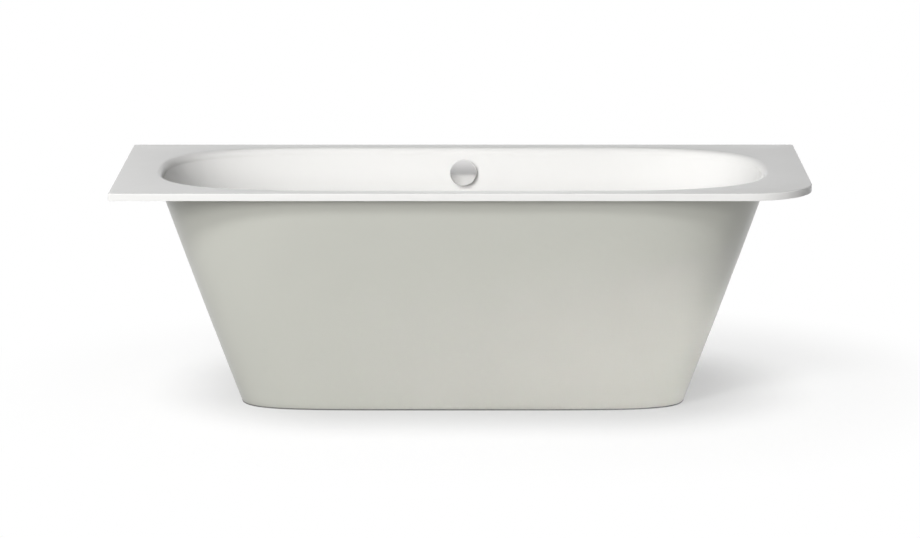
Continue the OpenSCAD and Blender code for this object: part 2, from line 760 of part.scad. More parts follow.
module trap_bowl() {
    inner = trap_d - 2 * bowl_wall;
    color([0.25, 0.25, 0.27]) {
        difference() {
            union() {
                rotate_extrude($fn = round_n) polygon([
                    [0, bowl_bottom], [trap_d / 2 - bowl_edge, bowl_bottom], [trap_d / 2, bowl_bottom + bowl_edge],
                    [trap_d / 2, bowl_top - bowl_edge], [trap_d / 2 - bowl_edge, bowl_top], [0, bowl_top]
                ]);
                rod(neck_d, bowl_top - 1, neck_top);
                translate([0, 0, outlet_z]) rotate([0, 90, 0]) rod(outlet_d, 0, outlet_joint);
            }
            rod(inner, bowl_bottom + bowl_wall, bowl_top - bowl_wall);
            rod(neck_bore, bowl_bottom + bowl_wall, neck_top + 1);
            translate([0, 0, outlet_z]) rotate([0, 90, 0])
                rod(outlet_d - 2 * outlet_wall, inner / 2 - 8, outlet_joint + 1);
        }
        intersection() {
            translate([weir_x, -trap_d / 2, bowl_bottom + 1]) cube([2, trap_d, weir_top - bowl_bottom - 1]);
            rod(inner + 1, bowl_bottom, bowl_top);
        }
    }
}

// Outlet elbow: a quarter turn to the back wall
outlet_bend = 36;
elbow_start = outlet_joint + 2;
outlet_nut_end = elbow_start + 6;
outlet_x = outlet_nut_end + outlet_run + outlet_bend;

module outlet_elbow() {
    bore = outlet_d - 2 * outlet_wall;
    corner = outlet_x - outlet_bend;
    color([0.25, 0.25, 0.27]) translate([0, 0, outlet_z]) difference() {
        union() {
            rotate([0, 90, 0]) rod(outlet_d, elbow_start, corner);
            rotate([0, 90, 0]) rod(outlet_d + 6, elbow_start, elbow_start + 3);
            translate([corner, outlet_bend, 0]) rotate([0, 0, -90]) rotate_extrude(angle = 90, $fn = round_n)
                translate([outlet_bend, 0]) circle(d = outlet_d);
            translate([outlet_x, 0, 0]) rotate([-90, 0, 0]) rod(outlet_d, outlet_bend, outlet_y);
        }
        rotate([0, 90, 0]) rod(bore, elbow_start - 1, corner);
        translate([corner, outlet_bend, 0]) rotate([0, 0, -90]) rotate_extrude(angle = 90, $fn = round_n)
            translate([outlet_bend, 0]) circle(d = bore);
        translate([outlet_x, 0, 0]) rotate([-90, 0, 0]) rod(bore, outlet_bend, outlet_y + 1);
    }
}

module outlet_gasket() {
    color("black") translate([0, 0, outlet_z]) rotate([0, 90, 0])
        tube(outlet_d, outlet_d - 2 * outlet_wall + 1, outlet_joint, elbow_start);
}

module outlet_nut() {
    d = outlet_d + 12;
    color([0.25, 0.25, 0.27]) translate([0, 0, outlet_z]) rotate([0, 90, 0]) difference() {
        union() {
            rod(d - 3, outlet_joint - 14, outlet_nut_end);
            for (a = [15 : 30 : 359]) rotate([0, 0, a]) translate([d / 2 - 3, -2, outlet_joint - 14])
                cube([3, 4, 22]);
        }
        rod(outlet_d + 2 * fit, outlet_joint - 15, outlet_nut_end + 1);
        rod(outlet_d + 6 + 2 * fit, outlet_joint - 4, elbow_start + 3 + fit);
    }
}

// Overflow, seen from the wall: behind the sheet lies the gasket, then the body
gasket_t = 2.5;
body_face = -wall - gasket_t;
body_back = -49;
overflow_cup_d = overflow_bore + 8;
overflow_flange_d = overflow_bore + 28;
rosette_d = overflow_bore + 14;
overflow_cup_bore = overflow_bore + 2;
spindle_back = body_back + 6;
spindle_face = knob_h - 5.5;
post_y = 17;
post_face = -wall - 10;
gear_z0 = -26;
gear_z1 = -20;
pipe_y = overflow_y + 28;
spigot_end = overflow_z - 58;
spigot_stop = spigot_end + 14;
pitch_r = pinion_teeth * gear_module / 2;
rack_back = -pitch_r - 7.5;
wire_d = 3;
wire_x = rack_back + 1.5;
gear_mid = (gear_z0 + gear_z1) / 2;
gland_y0 = -50;
gland_y1 = -24;

module overflow_gasket() { color("black") at_overflow() tube(overflow_flange_d - 4, overflow_bore + 2, -wall - gasket_t, -wall); }

module overflow_body() {
    color([0.25, 0.25, 0.27]) {
        difference() {
            union() {
                at_overflow() {
                    rod(overflow_flange_d, body_face - 4, body_face);
                    rod(overflow_cup_d, body_back, body_face);
                    translate([wire_x, 0, gear_mid]) rotate([90, 0, 0]) rod(ferrule_d + 4, 15, -gland_y0 - 12);
                }
                translate([pipe_x, pipe_y, 0]) rod(socket_d, spigot_end, overflow_z - 18);
            }
            at_overflow() {
                rod(overflow_cup_bore, body_back + 3, body_face + 1);
                translate([wire_x, 0, gear_mid]) rotate([90, 0, 0]) {
                    rod(wire_d + 1, 10, 50, 32);
                    rod(ferrule_d, -gland_y1 + 2, 50, 48);
                }
            }
            translate([pipe_x, pipe_y, 0]) {
                rod(pipe_d - 4, spigot_end - 1, overflow_z - 18);
                rod(pipe_d + 2 * fit, spigot_end - 1, spigot_stop);
            }
        }
        at_overflow() {
            difference() {
                rod(spindle_d + 6, body_back + 1, spindle_back + 3);
                rod(spindle_d + 2 * fit, spindle_back - gap, spindle_back + 4, 48);
            }
            for (y = [-post_y, post_y]) translate([0, y, 0]) difference() {
                rod(9, body_back + 1, post_face);
                rod(4, post_face - 16, post_face + 1, 32);
            }
            intersection() {
                rod(overflow_cup_bore + 1, body_back + 1, gear_z0 - gap);
                translate([rack_back - 1, -20, body_back + 1]) cube([6, 42, gear_z0 - gap - body_back - 1]);
            }
        }
    }
}

// Rosette in the basin that draws the body against the sheet
module overflow_rosette() {
    collar = overflow_bore - 2;
    color("silver") at_overflow() difference() {
        union() {
            tube(rosette_d, collar - 6, bond, 2.5);
            tube(collar, collar - 6, -wall - 8, 0.5);
            rod(spindle_d + 8, -wall - 8, 2.5);
            translate([-5, -collar / 2 + 1, -wall - 8]) cube([10, collar - 2, 5]);
            translate([-collar / 2 + 1, -2, -wall - 8]) cube([collar - 2, 4, 5]);
        }
        rod(spindle_d + 2 * fit, -wall - 20, 10, 48);
        for (y = [-post_y, post_y]) translate([0, y, 0]) rod(4.5, -wall - 20, 10, 32);
    }
}

module overflow_screws() {
    color("silver") at_overflow() for (y = [-post_y, post_y]) translate([0, y, 0]) {
        rod(3.9, post_face - 14, -wall - 3, 32);
        rod(8, -wall - 3, -wall, 32);
    }
}

// Knob: a domed disc with a skirt, carried by a hub on the spindle
module overflow_knob() {
    r = knob_d / 2;
    edge = 3;
    dome = 2.5;
    ball = ((r - edge) * (r - edge) + dome * dome) / (2 * dome);
    color("silver") at_overflow() {
        rotate_extrude($fn = 96) polygon(concat(
            [[r - 3, knob_gap], [r, knob_gap]],
            [for (a = [0 : 15 : 90]) [r - edge + edge * cos(a), knob_h - dome - edge + edge * sin(a)]],
            [for (k = [1 : 8]) let (x = (r - edge) * (1 - k / 8))
                [x, knob_h - dome + sqrt(ball * ball - x * x) - (ball - dome)]],
            [[0, knob_h - 5], [r - 6, knob_h - dome - 4], [r - 3, knob_h - dome - 7]]
        ));
        tube(16, spindle_d + 2 * fit, knob_gap + 1, knob_h - 4.5);
    }
}

// Involute of a circle of radius b at roll angle t, turned by a
function involute(b, t, a) = [b * (cos(t + a) + t * PI / 180 * sin(t + a)), b * (sin(t + a) - t * PI / 180 * cos(t + a))];

pressure = 20;
play = 0.35;

module pinion() {
    base_r = pitch_r * cos(pressure);
    tip_r = pitch_r + gear_module;
    root_r = pitch_r - gear_module;
    tip_roll = sqrt(tip_r * tip_r / (base_r * base_r) - 1) * 180 / PI;
    half = 90 / pinion_teeth - play / 2 / pitch_r * 180 / PI / 2;
    lean = half + tan(pressure) * 180 / PI - pressure;
    linear_extrude(gear_z1 - gear_z0) union() {
        circle(r = root_r, $fn = 48);
        for (k = [0 : pinion_teeth - 1]) rotate(180 + 360 * k / pinion_teeth) polygon(concat(
            [[0, -root_r * sin(lean)], [root_r * cos(lean), -root_r * sin(lean)]],
            [for (i = [0 : 5]) involute(base_r, tip_roll * i / 5, -lean)],
            [for (i = [5 : -1 : 0]) let (p = involute(base_r, tip_roll * i / 5, -lean)) [p[0], -p[1]]],
            [[root_r * cos(lean), root_r * sin(lean)], [0, root_r * sin(lean)]]
        ));
    }
}

module overflow_spindle() {
    color("silver") at_overflow() {
        rod(spindle_d, spindle_back, spindle_face, 48);
        translate([0, 0, gear_z0]) pinion();
    }
}

// Rack on the left of the pinion, teeth to the right; it pushes the wire down as the knob opens the waste
rack_pitch = PI * gear_module;
rack_top = 20;
rack_low = -6;

module control_rack() {
    add = 0.65 * gear_module;
    ded = 1.25 * gear_module;
    half = rack_pitch / 4 - play / 4;
    count = floor((rack_top - rack_low) / rack_pitch) - 1;
    color("silver") at_overflow() {
        translate([-pitch_r, 0, gear_z0]) linear_extrude(gear_z1 - gear_z0) {
            polygon([[-ded, rack_low], [-ded, rack_top], [rack_back + pitch_r, rack_top], [rack_back + pitch_r, rack_low]]);
            for (k = [-1 : count - 1]) translate([0, (k + 0.5) * rack_pitch]) polygon([
                [-ded - 0.1, -half - ded * tan(pressure)], [add, -half + add * tan(pressure)],
                [add, half - add * tan(pressure)], [-ded - 0.1, half + ded * tan(pressure)]
            ]);
        }
        translate([wire_x, 0, gear_mid]) rotate([90, 0, 0]) rod(wire_d, -rack_low - 1, 32, 32);
    }
}

// Ferrules that hold the cable's sheath at both ends
module cable_glands() {
    color("silver") {
        at_overflow() translate([wire_x, 0, gear_mid]) rotate([90, 0, 0])
            tube(ferrule_d, wire_d + 0.6, -gland_y1 + 2, -gland_y0, 48);
        translate([cable_x, 0, cable_z]) rotate([-90, 0, 0])
            tube(ferrule_d, wire_d + 0.6, ferrule_y, ferrule_y + ferrule_l, 48);
    }
}

// Sliding end of the wire with a slotted plate round the lifter's pin
module cable_end() {
    tip_y = shaft_y + arm_r * sin(lever_angle);
    color("silver") translate([cable_x, tip_y, cable_z]) {
        rotate([-90, 0, 0]) rod(wire_d, 5, 38, 32);
        difference() {
            translate([-1.5, -6, -7]) cube([3, 12, 17]);
            translate([-2, -pin_d / 2 - gap, -pin_d / 2 - gap]) cube([4, pin_d + 2 * gap, pin_d + 4]);
        }
    }
}

// Control cable: its sheath runs from the overflow down behind the basin and under the floor to the lifter
sheath_d = 6;
cable_route = [
    [-16, 338, 400], [-20, 333, 340], [-26, 328, 280], [-32, 322, 220], [-38, 308, 160],
    [-43, 285, 115], [-46, 250, 84], [-48, 210, 66]
];
route_steps = 4;

// Point of the room frame from a point of the frame of the overflow
function on_wall(p) = [
    p[0],
    overflow_y + p[1] * sin(side_slope) - p[2] * cos(side_slope),
    overflow_z + p[1] * cos(side_slope) + p[2] * sin(side_slope)
];
function unit(v) = v / norm(v);
function spline(a, b, c, d, t) =
    0.5 * (2 * b + (c - a) * t + (2 * a - 5 * b + 4 * c - d) * t * t + (3 * b - a - 3 * c + d) * t * t * t);

// Tube of eight sides along points, its first and last points giving only the direction of the ends
module swept(points, d, sides = 8) {
    last = len(points) - 2;
    line = concat(
        [for (k = [1 : last - 1], i = [0 : route_steps - 1])
            spline(points[k - 1], points[k], points[k + 1], points[k + 2], i / route_steps)],
        [points[last]]
    );
    n = len(line);
    rings = [for (k = [0 : n - 1]) let (
        t = k == 0 ? unit(points[1] - points[0]) : k == n - 1 ? unit(points[last + 1] - points[last])
            : unit(line[k + 1] - line[k - 1]),
        u = unit(cross(t, [1, 0, 0])), v = cross(t, u))
        [for (i = [0 : sides - 1]) line[k] + d / 2 * (cos(360 * i / sides) * u + sin(360 * i / sides) * v)]];
    polyhedron(flat(rings), concat(
        flat([for (k = [0 : n - 2]) band(sides, k * sides, (k + 1) * sides)]),
        [[for (i = [0 : sides - 1]) i]],
        [[for (i = [sides - 1 : -1 : 0]) (n - 1) * sides + i]]
    ), convexity = 6);
}

module control_cable() {
    start = on_wall([wire_x, gland_y0, gear_mid]);
    before = on_wall([wire_x, gland_y0 + 20, gear_mid]);
    end_y = ferrule_y + ferrule_l;
    color("black") swept(concat(
        [before, start, on_wall([wire_x, gland_y0 - 20, gear_mid])], cable_route,
        [[cable_x, end_y + 100, cable_z + 1], [cable_x, end_y + 50, cable_z], [cable_x, end_y, cable_z],
         [cable_x, end_y - 20, cable_z]]
    ), sheath_d);
}

// Overflow pipe: down behind the basin, one bend and in under the floor
module pipe_line(d) {
    translate([pipe_x, 0, 0]) {
        translate([0, pipe_y, 0]) rod(d, inlet_z + pipe_bend, spigot_stop);
        translate([0, pipe_y - pipe_bend, inlet_z + pipe_bend]) rotate([90, 0, 90]) rotate([0, 0, -90])
            rotate_extrude(angle = 90, $fn = round_n) translate([pipe_bend, 0]) circle(d = d);
        translate([0, 0, inlet_z]) rotate([-90, 0, 0]) rod(d, inlet_stop, pipe_y - pipe_bend);
    }
}

module overflow_pipe() {
    color("gray") difference() {
        pipe_line(pipe_d);
        pipe_line(pipe_d - 4);
        translate([pipe_x, pipe_y, 0]) rod(pipe_d - 4, spigot_stop - 1, spigot_stop + 1);
        translate([pipe_x, 0, inlet_z]) rotate([-90, 0, 0]) rod(pipe_d - 4, inlet_stop - 1, inlet_stop + 1);
    }
}

// Union nut on a socket whose mouth is at 0 and whose pipe leaves towards +Z
module pipe_nut() {
    color([0.25, 0.25, 0.27]) difference() {
        rod(socket_d + 4, -12, 8);
        rod(socket_d + 2 * fit, -13, 0);
        rod(pipe_d + 2 * fit, -1, 9);
    }
}

module pipe_nuts() {
    translate([pipe_x, pipe_y, spigot_end]) rotate([180, 0, 0]) pipe_nut();
    translate([pipe_x, inlet_y, inlet_z]) rotate([-90, 0, 0]) pipe_nut();
}

tub_shell();
front_panel();
panel_floor_seal();
panel_top_tape();
panel_bracket_left();
panel_bracket_right();
panel_screws();
wing_brackets();
foot_rail_left();
foot_rail_right();
rail_glue_pads();
rail_nuts();
lock_nuts();
foot_spindle_front_left();
foot_spindle_front_right();
foot_spindle_back_left();
foot_spindle_back_right();
foot_plate_front_left();
foot_plate_front_right();
foot_plate_back_left();
foot_plate_back_right();
wall_anchors_back();
wall_anchor_left();
anchor_profiles();
earthing_lug();
earthing_bolt();
sound_pads();
waste_flange();
cup_gasket();
clamp_gasket();
waste_body();
plug();
plug_seal();
lifter();
trap_union_nut();
trap_gasket();
trap_bowl();
outlet_elbow();
outlet_nut();
outlet_gasket();
overflow_body();
overflow_gasket();
overflow_rosette();
overflow_screws();
overflow_knob();
overflow_spindle();
control_rack();
control_cable();
cable_glands();
cable_end();
overflow_pipe();
pipe_nuts();
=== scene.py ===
"""A built-in bathtub for a corner niche: an enamelled steel tub, a tapered panel and an overflow control.

All lengths are in metres, in the frame of the CAD model: the origin is on the floor under the middle of the
tub, the back wall is at +Y and the left wall at -X.
"""

from __future__ import annotations

import logging
import math
from dataclasses import dataclass, field
from enum import Enum, IntEnum
from functools import partial, reduce
from typing import Callable, Sequence, Union

import bmesh
import bpy
from mathutils import Euler, Matrix, Vector

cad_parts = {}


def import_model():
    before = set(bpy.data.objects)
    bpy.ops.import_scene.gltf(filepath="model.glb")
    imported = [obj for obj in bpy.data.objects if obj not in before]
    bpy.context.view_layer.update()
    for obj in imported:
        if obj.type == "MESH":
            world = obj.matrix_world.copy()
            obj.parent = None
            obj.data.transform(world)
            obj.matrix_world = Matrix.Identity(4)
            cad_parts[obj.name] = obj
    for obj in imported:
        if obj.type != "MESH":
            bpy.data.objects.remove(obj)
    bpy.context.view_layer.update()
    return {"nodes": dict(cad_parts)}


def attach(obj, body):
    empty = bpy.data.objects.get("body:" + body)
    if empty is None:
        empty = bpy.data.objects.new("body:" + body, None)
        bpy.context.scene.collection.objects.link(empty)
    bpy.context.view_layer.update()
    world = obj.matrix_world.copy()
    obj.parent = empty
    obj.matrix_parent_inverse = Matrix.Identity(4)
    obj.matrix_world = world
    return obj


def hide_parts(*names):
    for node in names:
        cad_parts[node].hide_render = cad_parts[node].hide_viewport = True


LOG = logging.getLogger("bathtub")

# A millimetre, the distance up to which two points are one, the gap between a rod and its bore, and the
# angle in degrees above which an edge stays sharp
MM = 0.001
MERGE = 1e-6
CLEARANCE = 0.08 * MM
CREASE = 35.0

# The depth of a screw thread, and where the corners of its tooth lie, as shares of the pitch
THREAD_DEPTH = 0.5
TOOTH = (0.08, 0.42, 0.58, 0.92)

Pair = tuple[float, float]
Place = tuple[float, float, float]
Colour = tuple[float, float, float]
Profile = list[Pair]
Outline = Callable[[int], Vector]
Number = Union[float, "Value", bpy.types.NodeSocket]
Paint = Union[Sequence[float], bpy.types.NodeSocket]

WHITE: Colour = (1.0, 1.0, 1.0)


class Body(str, Enum):
    """The moving bodies that the pieces ride on."""

    TUB = "tub"
    CONTROL = "control"
    STOPPER = "stopper"
    FRONT_LEFT = "foot_front_left"
    FRONT_RIGHT = "foot_front_right"
    BACK_LEFT = "foot_back_left"
    BACK_RIGHT = "foot_back_right"


class Grain(Enum):
    """How the surface of a finish is broken up."""

    GLAZE = "waves and fine peel of a fired or sprayed coat"
    POLISH = "hairlines in a polished plate"
    SPANGLE = "crystals of a zinc coat"
    MOULD = "spark grain of a plastics mould"
    RUBBER = "dusty skin of moulded rubber"
    STIPPLE = "rolled bitumen"


class Facets(IntEnum):
    """Faces of a full turn, by what is turned."""

    FACE = 128
    RING = 96
    BORE = 64
    ROD = 48
    THREAD = 24


# Shader maths


def rgba(colour: Colour) -> tuple[float, float, float, float]:
    """The colour with full cover."""
    return (*colour, 1.0)


class Value:
    """A socket that carries a number, with the arithmetic that the finishes use."""

    def __init__(self, graph: Graph, socket: bpy.types.NodeSocket) -> None:
        """Wraps a socket of a graph."""
        self.graph = graph
        self.socket = socket

    def _math(self, operation: str, first: Number, second: Number) -> Value:
        """Adds one Math node with an operation and its two inputs, and returns its result."""
        return self.graph.value("ShaderNodeMath", {"operation": operation}, {0: first, 1: second})

    def __add__(self, other: Number) -> Value:
        """Sum."""
        return self._math("ADD", self, other)

    __radd__ = __add__

    def __mul__(self, other: Number) -> Value:
        """Product."""
        return self._math("MULTIPLY", self, other)

    __rmul__ = __mul__

    def __sub__(self, other: Number) -> Value:
        """Difference."""
        return self._math("SUBTRACT", self, other)

    def __rsub__(self, other: Number) -> Value:
        """Difference with this value taken away."""
        return self._math("SUBTRACT", other, self)

    def over(self, other: Number) -> Value:
        """The larger of the two."""
        return self._math("MAXIMUM", self, other)


class Graph:
    """The node tree of one material, with one way in for every node."""

    def __init__(self, tree: bpy.types.NodeTree) -> None:
        """Starts an empty tree."""
        self.tree = tree
        tree.nodes.clear()

    def node(self, kind: str, settings: dict | None = None, inputs: dict | None = None) -> bpy.types.Node:
        """Adds a node.

        Args:
            kind: the node's type.
            settings: its properties, which are set first.
            inputs: numbers, colours, sockets or values for its sockets, by name or index.

        Returns:
            The node.
        """
        made = self.tree.nodes.new(kind)
        for key, setting in (settings or {}).items():
            setattr(made, key, setting)
        for key, given in (inputs or {}).items():
            socket = made.inputs[key]
            if isinstance(given, Value):
                self.tree.links.new(given.socket, socket)
            elif isinstance(given, bpy.types.NodeSocket):
                self.tree.links.new(given, socket)
            else:
                socket.default_value = given
        return made

    def value(self, kind: str, settings: dict | None = None, inputs: dict | None = None) -> Value:
        """Adds a node as node() does, and returns its first output as a value."""
        return Value(self, self.node(kind, settings, inputs).outputs[0])

    def mix(self, share: Number, first: Paint, second: Paint) -> bpy.types.NodeSocket:
        """Mixes two colours by the share of the second, and returns the mixed colour's socket."""
        return self.node("ShaderNodeMix", {"data_type": "RGBA"}, {0: share, 6: first, 7: second}).outputs[2]

    def noise(self, place: Number, scale: float, detail: float = 2.0) -> Value:
        """Adds fractal noise about a half, at a scale in patterns per metre, with octaves of detail."""
        return self.value("ShaderNodeTexNoise", None, {"Vector": place, "Scale": scale, "Detail": detail})

    def vector(self, operation: str, first: Number | Place, second: Number | Place = (0.0, 0.0, 0.0),
               out: int = 0) -> bpy.types.NodeSocket:
        """Adds a Vector Math node.

        Args:
            operation: the node's operation.
            first: its first vector.
            second: its second vector, which some operations don't use.
            out: the output that is wanted.

        Returns:
            That output's socket.
        """
        made = self.node("ShaderNodeVectorMath", {"operation": operation}, {0: first, 1: second})
        return made.outputs[out]

    def glow(self, kind: str, strength: Number) -> bpy.types.NodeSocket:
        """Adds a white background or emission shader of some strength, and returns its socket."""
        return self.node(kind, None, {"Color": rgba(WHITE), "Strength": strength}).outputs[0]

    def ramp(self, value: Number, span: Pair, ends: Pair = (0.0, 1.0)) -> Value:
        """Leads a value smoothly from one number to another.

        Args:
            value: the value.
            span: where the ramp begins and where it ends.
            ends: the numbers before it and after it.

        Returns:
            The number on the ramp.
        """
        return self.value("ShaderNodeMapRange", {"interpolation_type": "SMOOTHSTEP"}, {
            "Value": value, "From Min": span[0], "From Max": span[1], "To Min": ends[0], "To Max": ends[1]})

    def seen_by(self, *rays: str) -> Value:
        """Tells what looks at the surface.

        Args:
            rays: names of the Light Path node's outputs.

        Returns:
            One for a ray of these kinds, and zero for any other.
        """
        path = self.node("ShaderNodeLightPath")
        return reduce(Value.over, [Value(self, path.outputs[ray]) for ray in rays])


# Finishes

# Scales are shares of a finish's own scale, heights are shares of its relief, and details are octaves
DRIFT_SCALE = 0.04
ROUGH_SCALE, ROUGH_DETAIL = 0.11, 3.0
GLAZE_DETAIL, WAVE_SCALE, WAVE_HEIGHT, PEEL_HEIGHT = 1.0, 0.05, 3.0, 0.35
HAIRLINES = (1.0, 30.0, 1.0)
CRYSTAL_SHARE = 0.75
GRIT_SCALE, GRIT_HEIGHT = 3.0, 0.4
FINE_DETAIL = 4.0
DUST_SCALE, DUST_DETAIL, DUST_START, DUST_GAIN = 0.15, 5.0, 0.35, 1.6
COAT_ROUGHNESS = 0.04


@dataclass(frozen=True)
class Finish:
    """One finish: its colours, gloss and surface.

    Attributes:
        name: the material's name.
        slot: the record's material slot.
        colour: the main colour, linear.
        tone: the colour that it drifts to in patches.
        roughness: the mean roughness.
        spread: how far the roughness drifts.
        grain: what breaks up the surface.
        scale: patterns per metre.
        relief: depth of the surface pattern in metres.
        metallic: metal or not.
        coat: weight of the clear coat.
        specular: strength of the reflection of the surface under the coat.
    """

    name: str
    slot: str
    colour: Colour
    tone: Colour
    roughness: float
    spread: float
    grain: Grain
    scale: float
    relief: float
    metallic: float = 0.0
    coat: float = 0.0
    specular: float = 0.5

    def _surface(self, graph: Graph, place: bpy.types.NodeSocket) -> tuple[Value, Value]:
        """The pattern of the finish's grain.

        Args:
            graph: the tree.
            place: the object's own coordinates.

        Returns:
            The height and the share of the second tone.
        """
        drift = graph.noise(place, self.scale * DRIFT_SCALE)
        if self.grain is Grain.GLAZE:
            waves = graph.noise(place, self.scale * WAVE_SCALE, GLAZE_DETAIL)
            return waves * WAVE_HEIGHT + graph.noise(place, self.scale, GLAZE_DETAIL) * PEEL_HEIGHT, drift
        if self.grain is Grain.POLISH:
            stretched = graph.node("ShaderNodeMapping", None, {"Vector": place, "Scale": HAIRLINES})
            return graph.noise(stretched.outputs[0], self.scale), drift
        if self.grain is Grain.SPANGLE:
            crystal = graph.node("ShaderNodeTexVoronoi", None, {"Vector": place, "Scale": self.scale})
            shade = graph.value("ShaderNodeSeparateColor", None, {0: crystal.outputs["Color"]})
            share = shade * CRYSTAL_SHARE + drift * (1 - CRYSTAL_SHARE)
            return Value(graph, crystal.outputs["Distance"]), share
        if self.grain is Grain.STIPPLE:
            lumps = graph.value("ShaderNodeTexVoronoi", None, {"Vector": place, "Scale": self.scale})
            return lumps + graph.noise(place, self.scale * GRIT_SCALE) * GRIT_HEIGHT, drift
        fine = graph.noise(place, self.scale, FINE_DETAIL)
        if self.grain is Grain.RUBBER:
            dust = graph.noise(place, self.scale * DUST_SCALE, DUST_DETAIL)
            return fine, (dust - DUST_START).over(0.0) * DUST_GAIN
        return fine, drift

    def material(self) -> bpy.types.Material:
        """Builds the material.

        Returns:
            The material, with its surface from procedural patterns.
        """
        made = bpy.data.materials.new(self.name)
        made.use_nodes = True
        graph = Graph(made.node_tree)
        place = graph.node("ShaderNodeTexCoord").outputs["Object"]
        height, share = self._surface(graph, place)
        rough = graph.noise(place, self.scale * ROUGH_SCALE, ROUGH_DETAIL) * self.spread
        bump = graph.node("ShaderNodeBump", None, {
            "Height": height, "Strength": 1.0, "Distance": self.relief})
        shader = graph.node("ShaderNodeBsdfPrincipled", None, {
            "Base Color": graph.mix(share, rgba(self.colour), rgba(self.tone)),
            "Roughness": rough + (self.roughness - self.spread / 2),
            "Metallic": self.metallic,
            "Coat Weight": self.coat,
            "Coat Roughness": COAT_ROUGHNESS,
            "Specular IOR Level": self.specular,
            "Normal": bump.outputs[0],
        })
        graph.node("ShaderNodeOutputMaterial", None, {"Surface": shader.outputs[0]})
        made.diffuse_color = rgba(self.colour)
        return made


ENAMEL = Finish("fired_enamel", "enamel", (0.86, 0.857, 0.845), (0.84, 0.837, 0.826), 0.16, 0.05,
                Grain.GLAZE, 160, 0.00004, coat=0.05, specular=0.08)
LACQUER = Finish("panel_lacquer", "panel_lacquer", (0.565, 0.57, 0.52), (0.55, 0.555, 0.506), 0.36, 0.08,
                 Grain.GLAZE, 220, 0.00006, coat=0.25)
CHROME = Finish("chrome_plate", "chrome", (0.86, 0.852, 0.848), (0.82, 0.815, 0.812), 0.16, 0.05,
                Grain.POLISH, 60, 0.00001, metallic=1.0)
ZINC = Finish("zinc_plated_steel", "steel", (0.62, 0.63, 0.64), (0.45, 0.47, 0.49), 0.36, 0.16,
              Grain.SPANGLE, 260, 0.00004, metallic=1.0)
DARK_PLASTIC = Finish("dark_plastic", "plastic_dark", (0.045, 0.047, 0.05), (0.06, 0.062, 0.066), 0.46, 0.14,
                      Grain.MOULD, 1600, 0.00006)
PALE_PLASTIC = Finish("pale_plastic", "plastic_light", (0.56, 0.57, 0.57), (0.5, 0.51, 0.505), 0.42, 0.12,
                      Grain.MOULD, 1500, 0.00005)
FOOT_PLASTIC = Finish("foot_plastic", "foot_plastic", (0.03, 0.03, 0.032), (0.07, 0.07, 0.07), 0.58, 0.12,
                      Grain.MOULD, 1200, 0.00008)
BLACK_RUBBER = Finish("black_rubber", "rubber_black", (0.018, 0.018, 0.019), (0.06, 0.059, 0.057), 0.72, 0.14,
                      Grain.RUBBER, 900, 0.00008)
GREY_RUBBER = Finish("grey_rubber", "rubber_grey", (0.16, 0.16, 0.155), (0.25, 0.248, 0.24), 0.7, 0.14,
                     Grain.RUBBER, 800, 0.00008)
SHEATH = Finish("cable_sheath", "cable_black", (0.02, 0.02, 0.022), (0.045, 0.045, 0.046), 0.4, 0.12,
                Grain.MOULD, 1400, 0.00005)
BITUMEN = Finish("bitumen_pad", "bitumen", (0.035, 0.034, 0.032), (0.075, 0.073, 0.069), 0.82, 0.12,
                 Grain.STIPPLE, 320, 0.0006)

# The CAD nodes that show as they are
BARE_NODES: dict[Finish, tuple[str, ...]] = {
    ZINC: ("panel_bracket_left", "panel_bracket_right", "panel_screws", "wing_brackets", "foot_rail_left",
           "foot_rail_right", "rail_nuts", "lock_nuts", "wall_anchors_back", "wall_anchor_left",
           "earthing_lug", "earthing_bolt", "overflow_screws", "lifter", "control_rack", "cable_glands",
           "cable_end", "overflow_spindle"),
    CHROME: ("overflow_rosette",),
    DARK_PLASTIC: ("waste_body", "trap_union_nut", "trap_bowl", "outlet_elbow", "outlet_nut",
                   "overflow_body", "pipe_nuts"),
    PALE_PLASTIC: ("overflow_pipe",),
    BLACK_RUBBER: ("cup_gasket", "clamp_gasket", "trap_gasket", "outlet_gasket", "overflow_gasket",
                   "anchor_profiles"),
    GREY_RUBBER: ("panel_floor_seal", "panel_top_tape", "rail_glue_pads"),
    BITUMEN: ("sound_pads",),
}


class Paintbox:
    """Makes each finish's material once."""

    def __init__(self) -> None:
        """Starts with no material."""
        self.made: dict[Finish, bpy.types.Material] = {}

    def dress(self, piece: bpy.types.Object, finish: Finish) -> None:
        """Gives a piece its finish, in the slots that it has or in a new one.

        Args:
            piece: the piece or the CAD node.
            finish: its finish.
        """
        if finish not in self.made:
            self.made[finish] = finish.material()
        material = self.made[finish]
        if not piece.material_slots:
            piece.data.materials.append(material)
        for slot in piece.material_slots:
            slot.material = material


# Outlines and mesh helpers


def arc(centre: Pair, radius: float, first: float, last: float, steps: int) -> Profile:
    """Points of an arc in a profile.

    Args:
        centre: its centre.
        radius: its radius.
        first: angle of its first point in degrees.
        last: angle of its last point in degrees.
        steps: how many steps it has.

    Returns:
        The points in the two directions of the profile.
    """
    angles = [math.radians(first + (last - first) * i / steps) for i in range(steps + 1)]
    return [(centre[0] + radius * math.cos(a), centre[1] + radius * math.sin(a)) for a in angles]


def dome(radius: float, rise: float, base: float, steps: int) -> Profile:
    """Points of a shallow dome in a profile, from its middle to its edge.

    Args:
        radius: radius of its edge.
        rise: height of its middle over its edge.
        base: height of its edge.
        steps: how many steps it has.

    Returns:
        The points as (radius, height).
    """
    ball = (radius * radius + rise * rise) / (2 * rise)
    radii = [radius * i / steps for i in range(steps + 1)]
    return [(r, base + rise - ball + math.sqrt(ball * ball - r * r)) for r in radii]


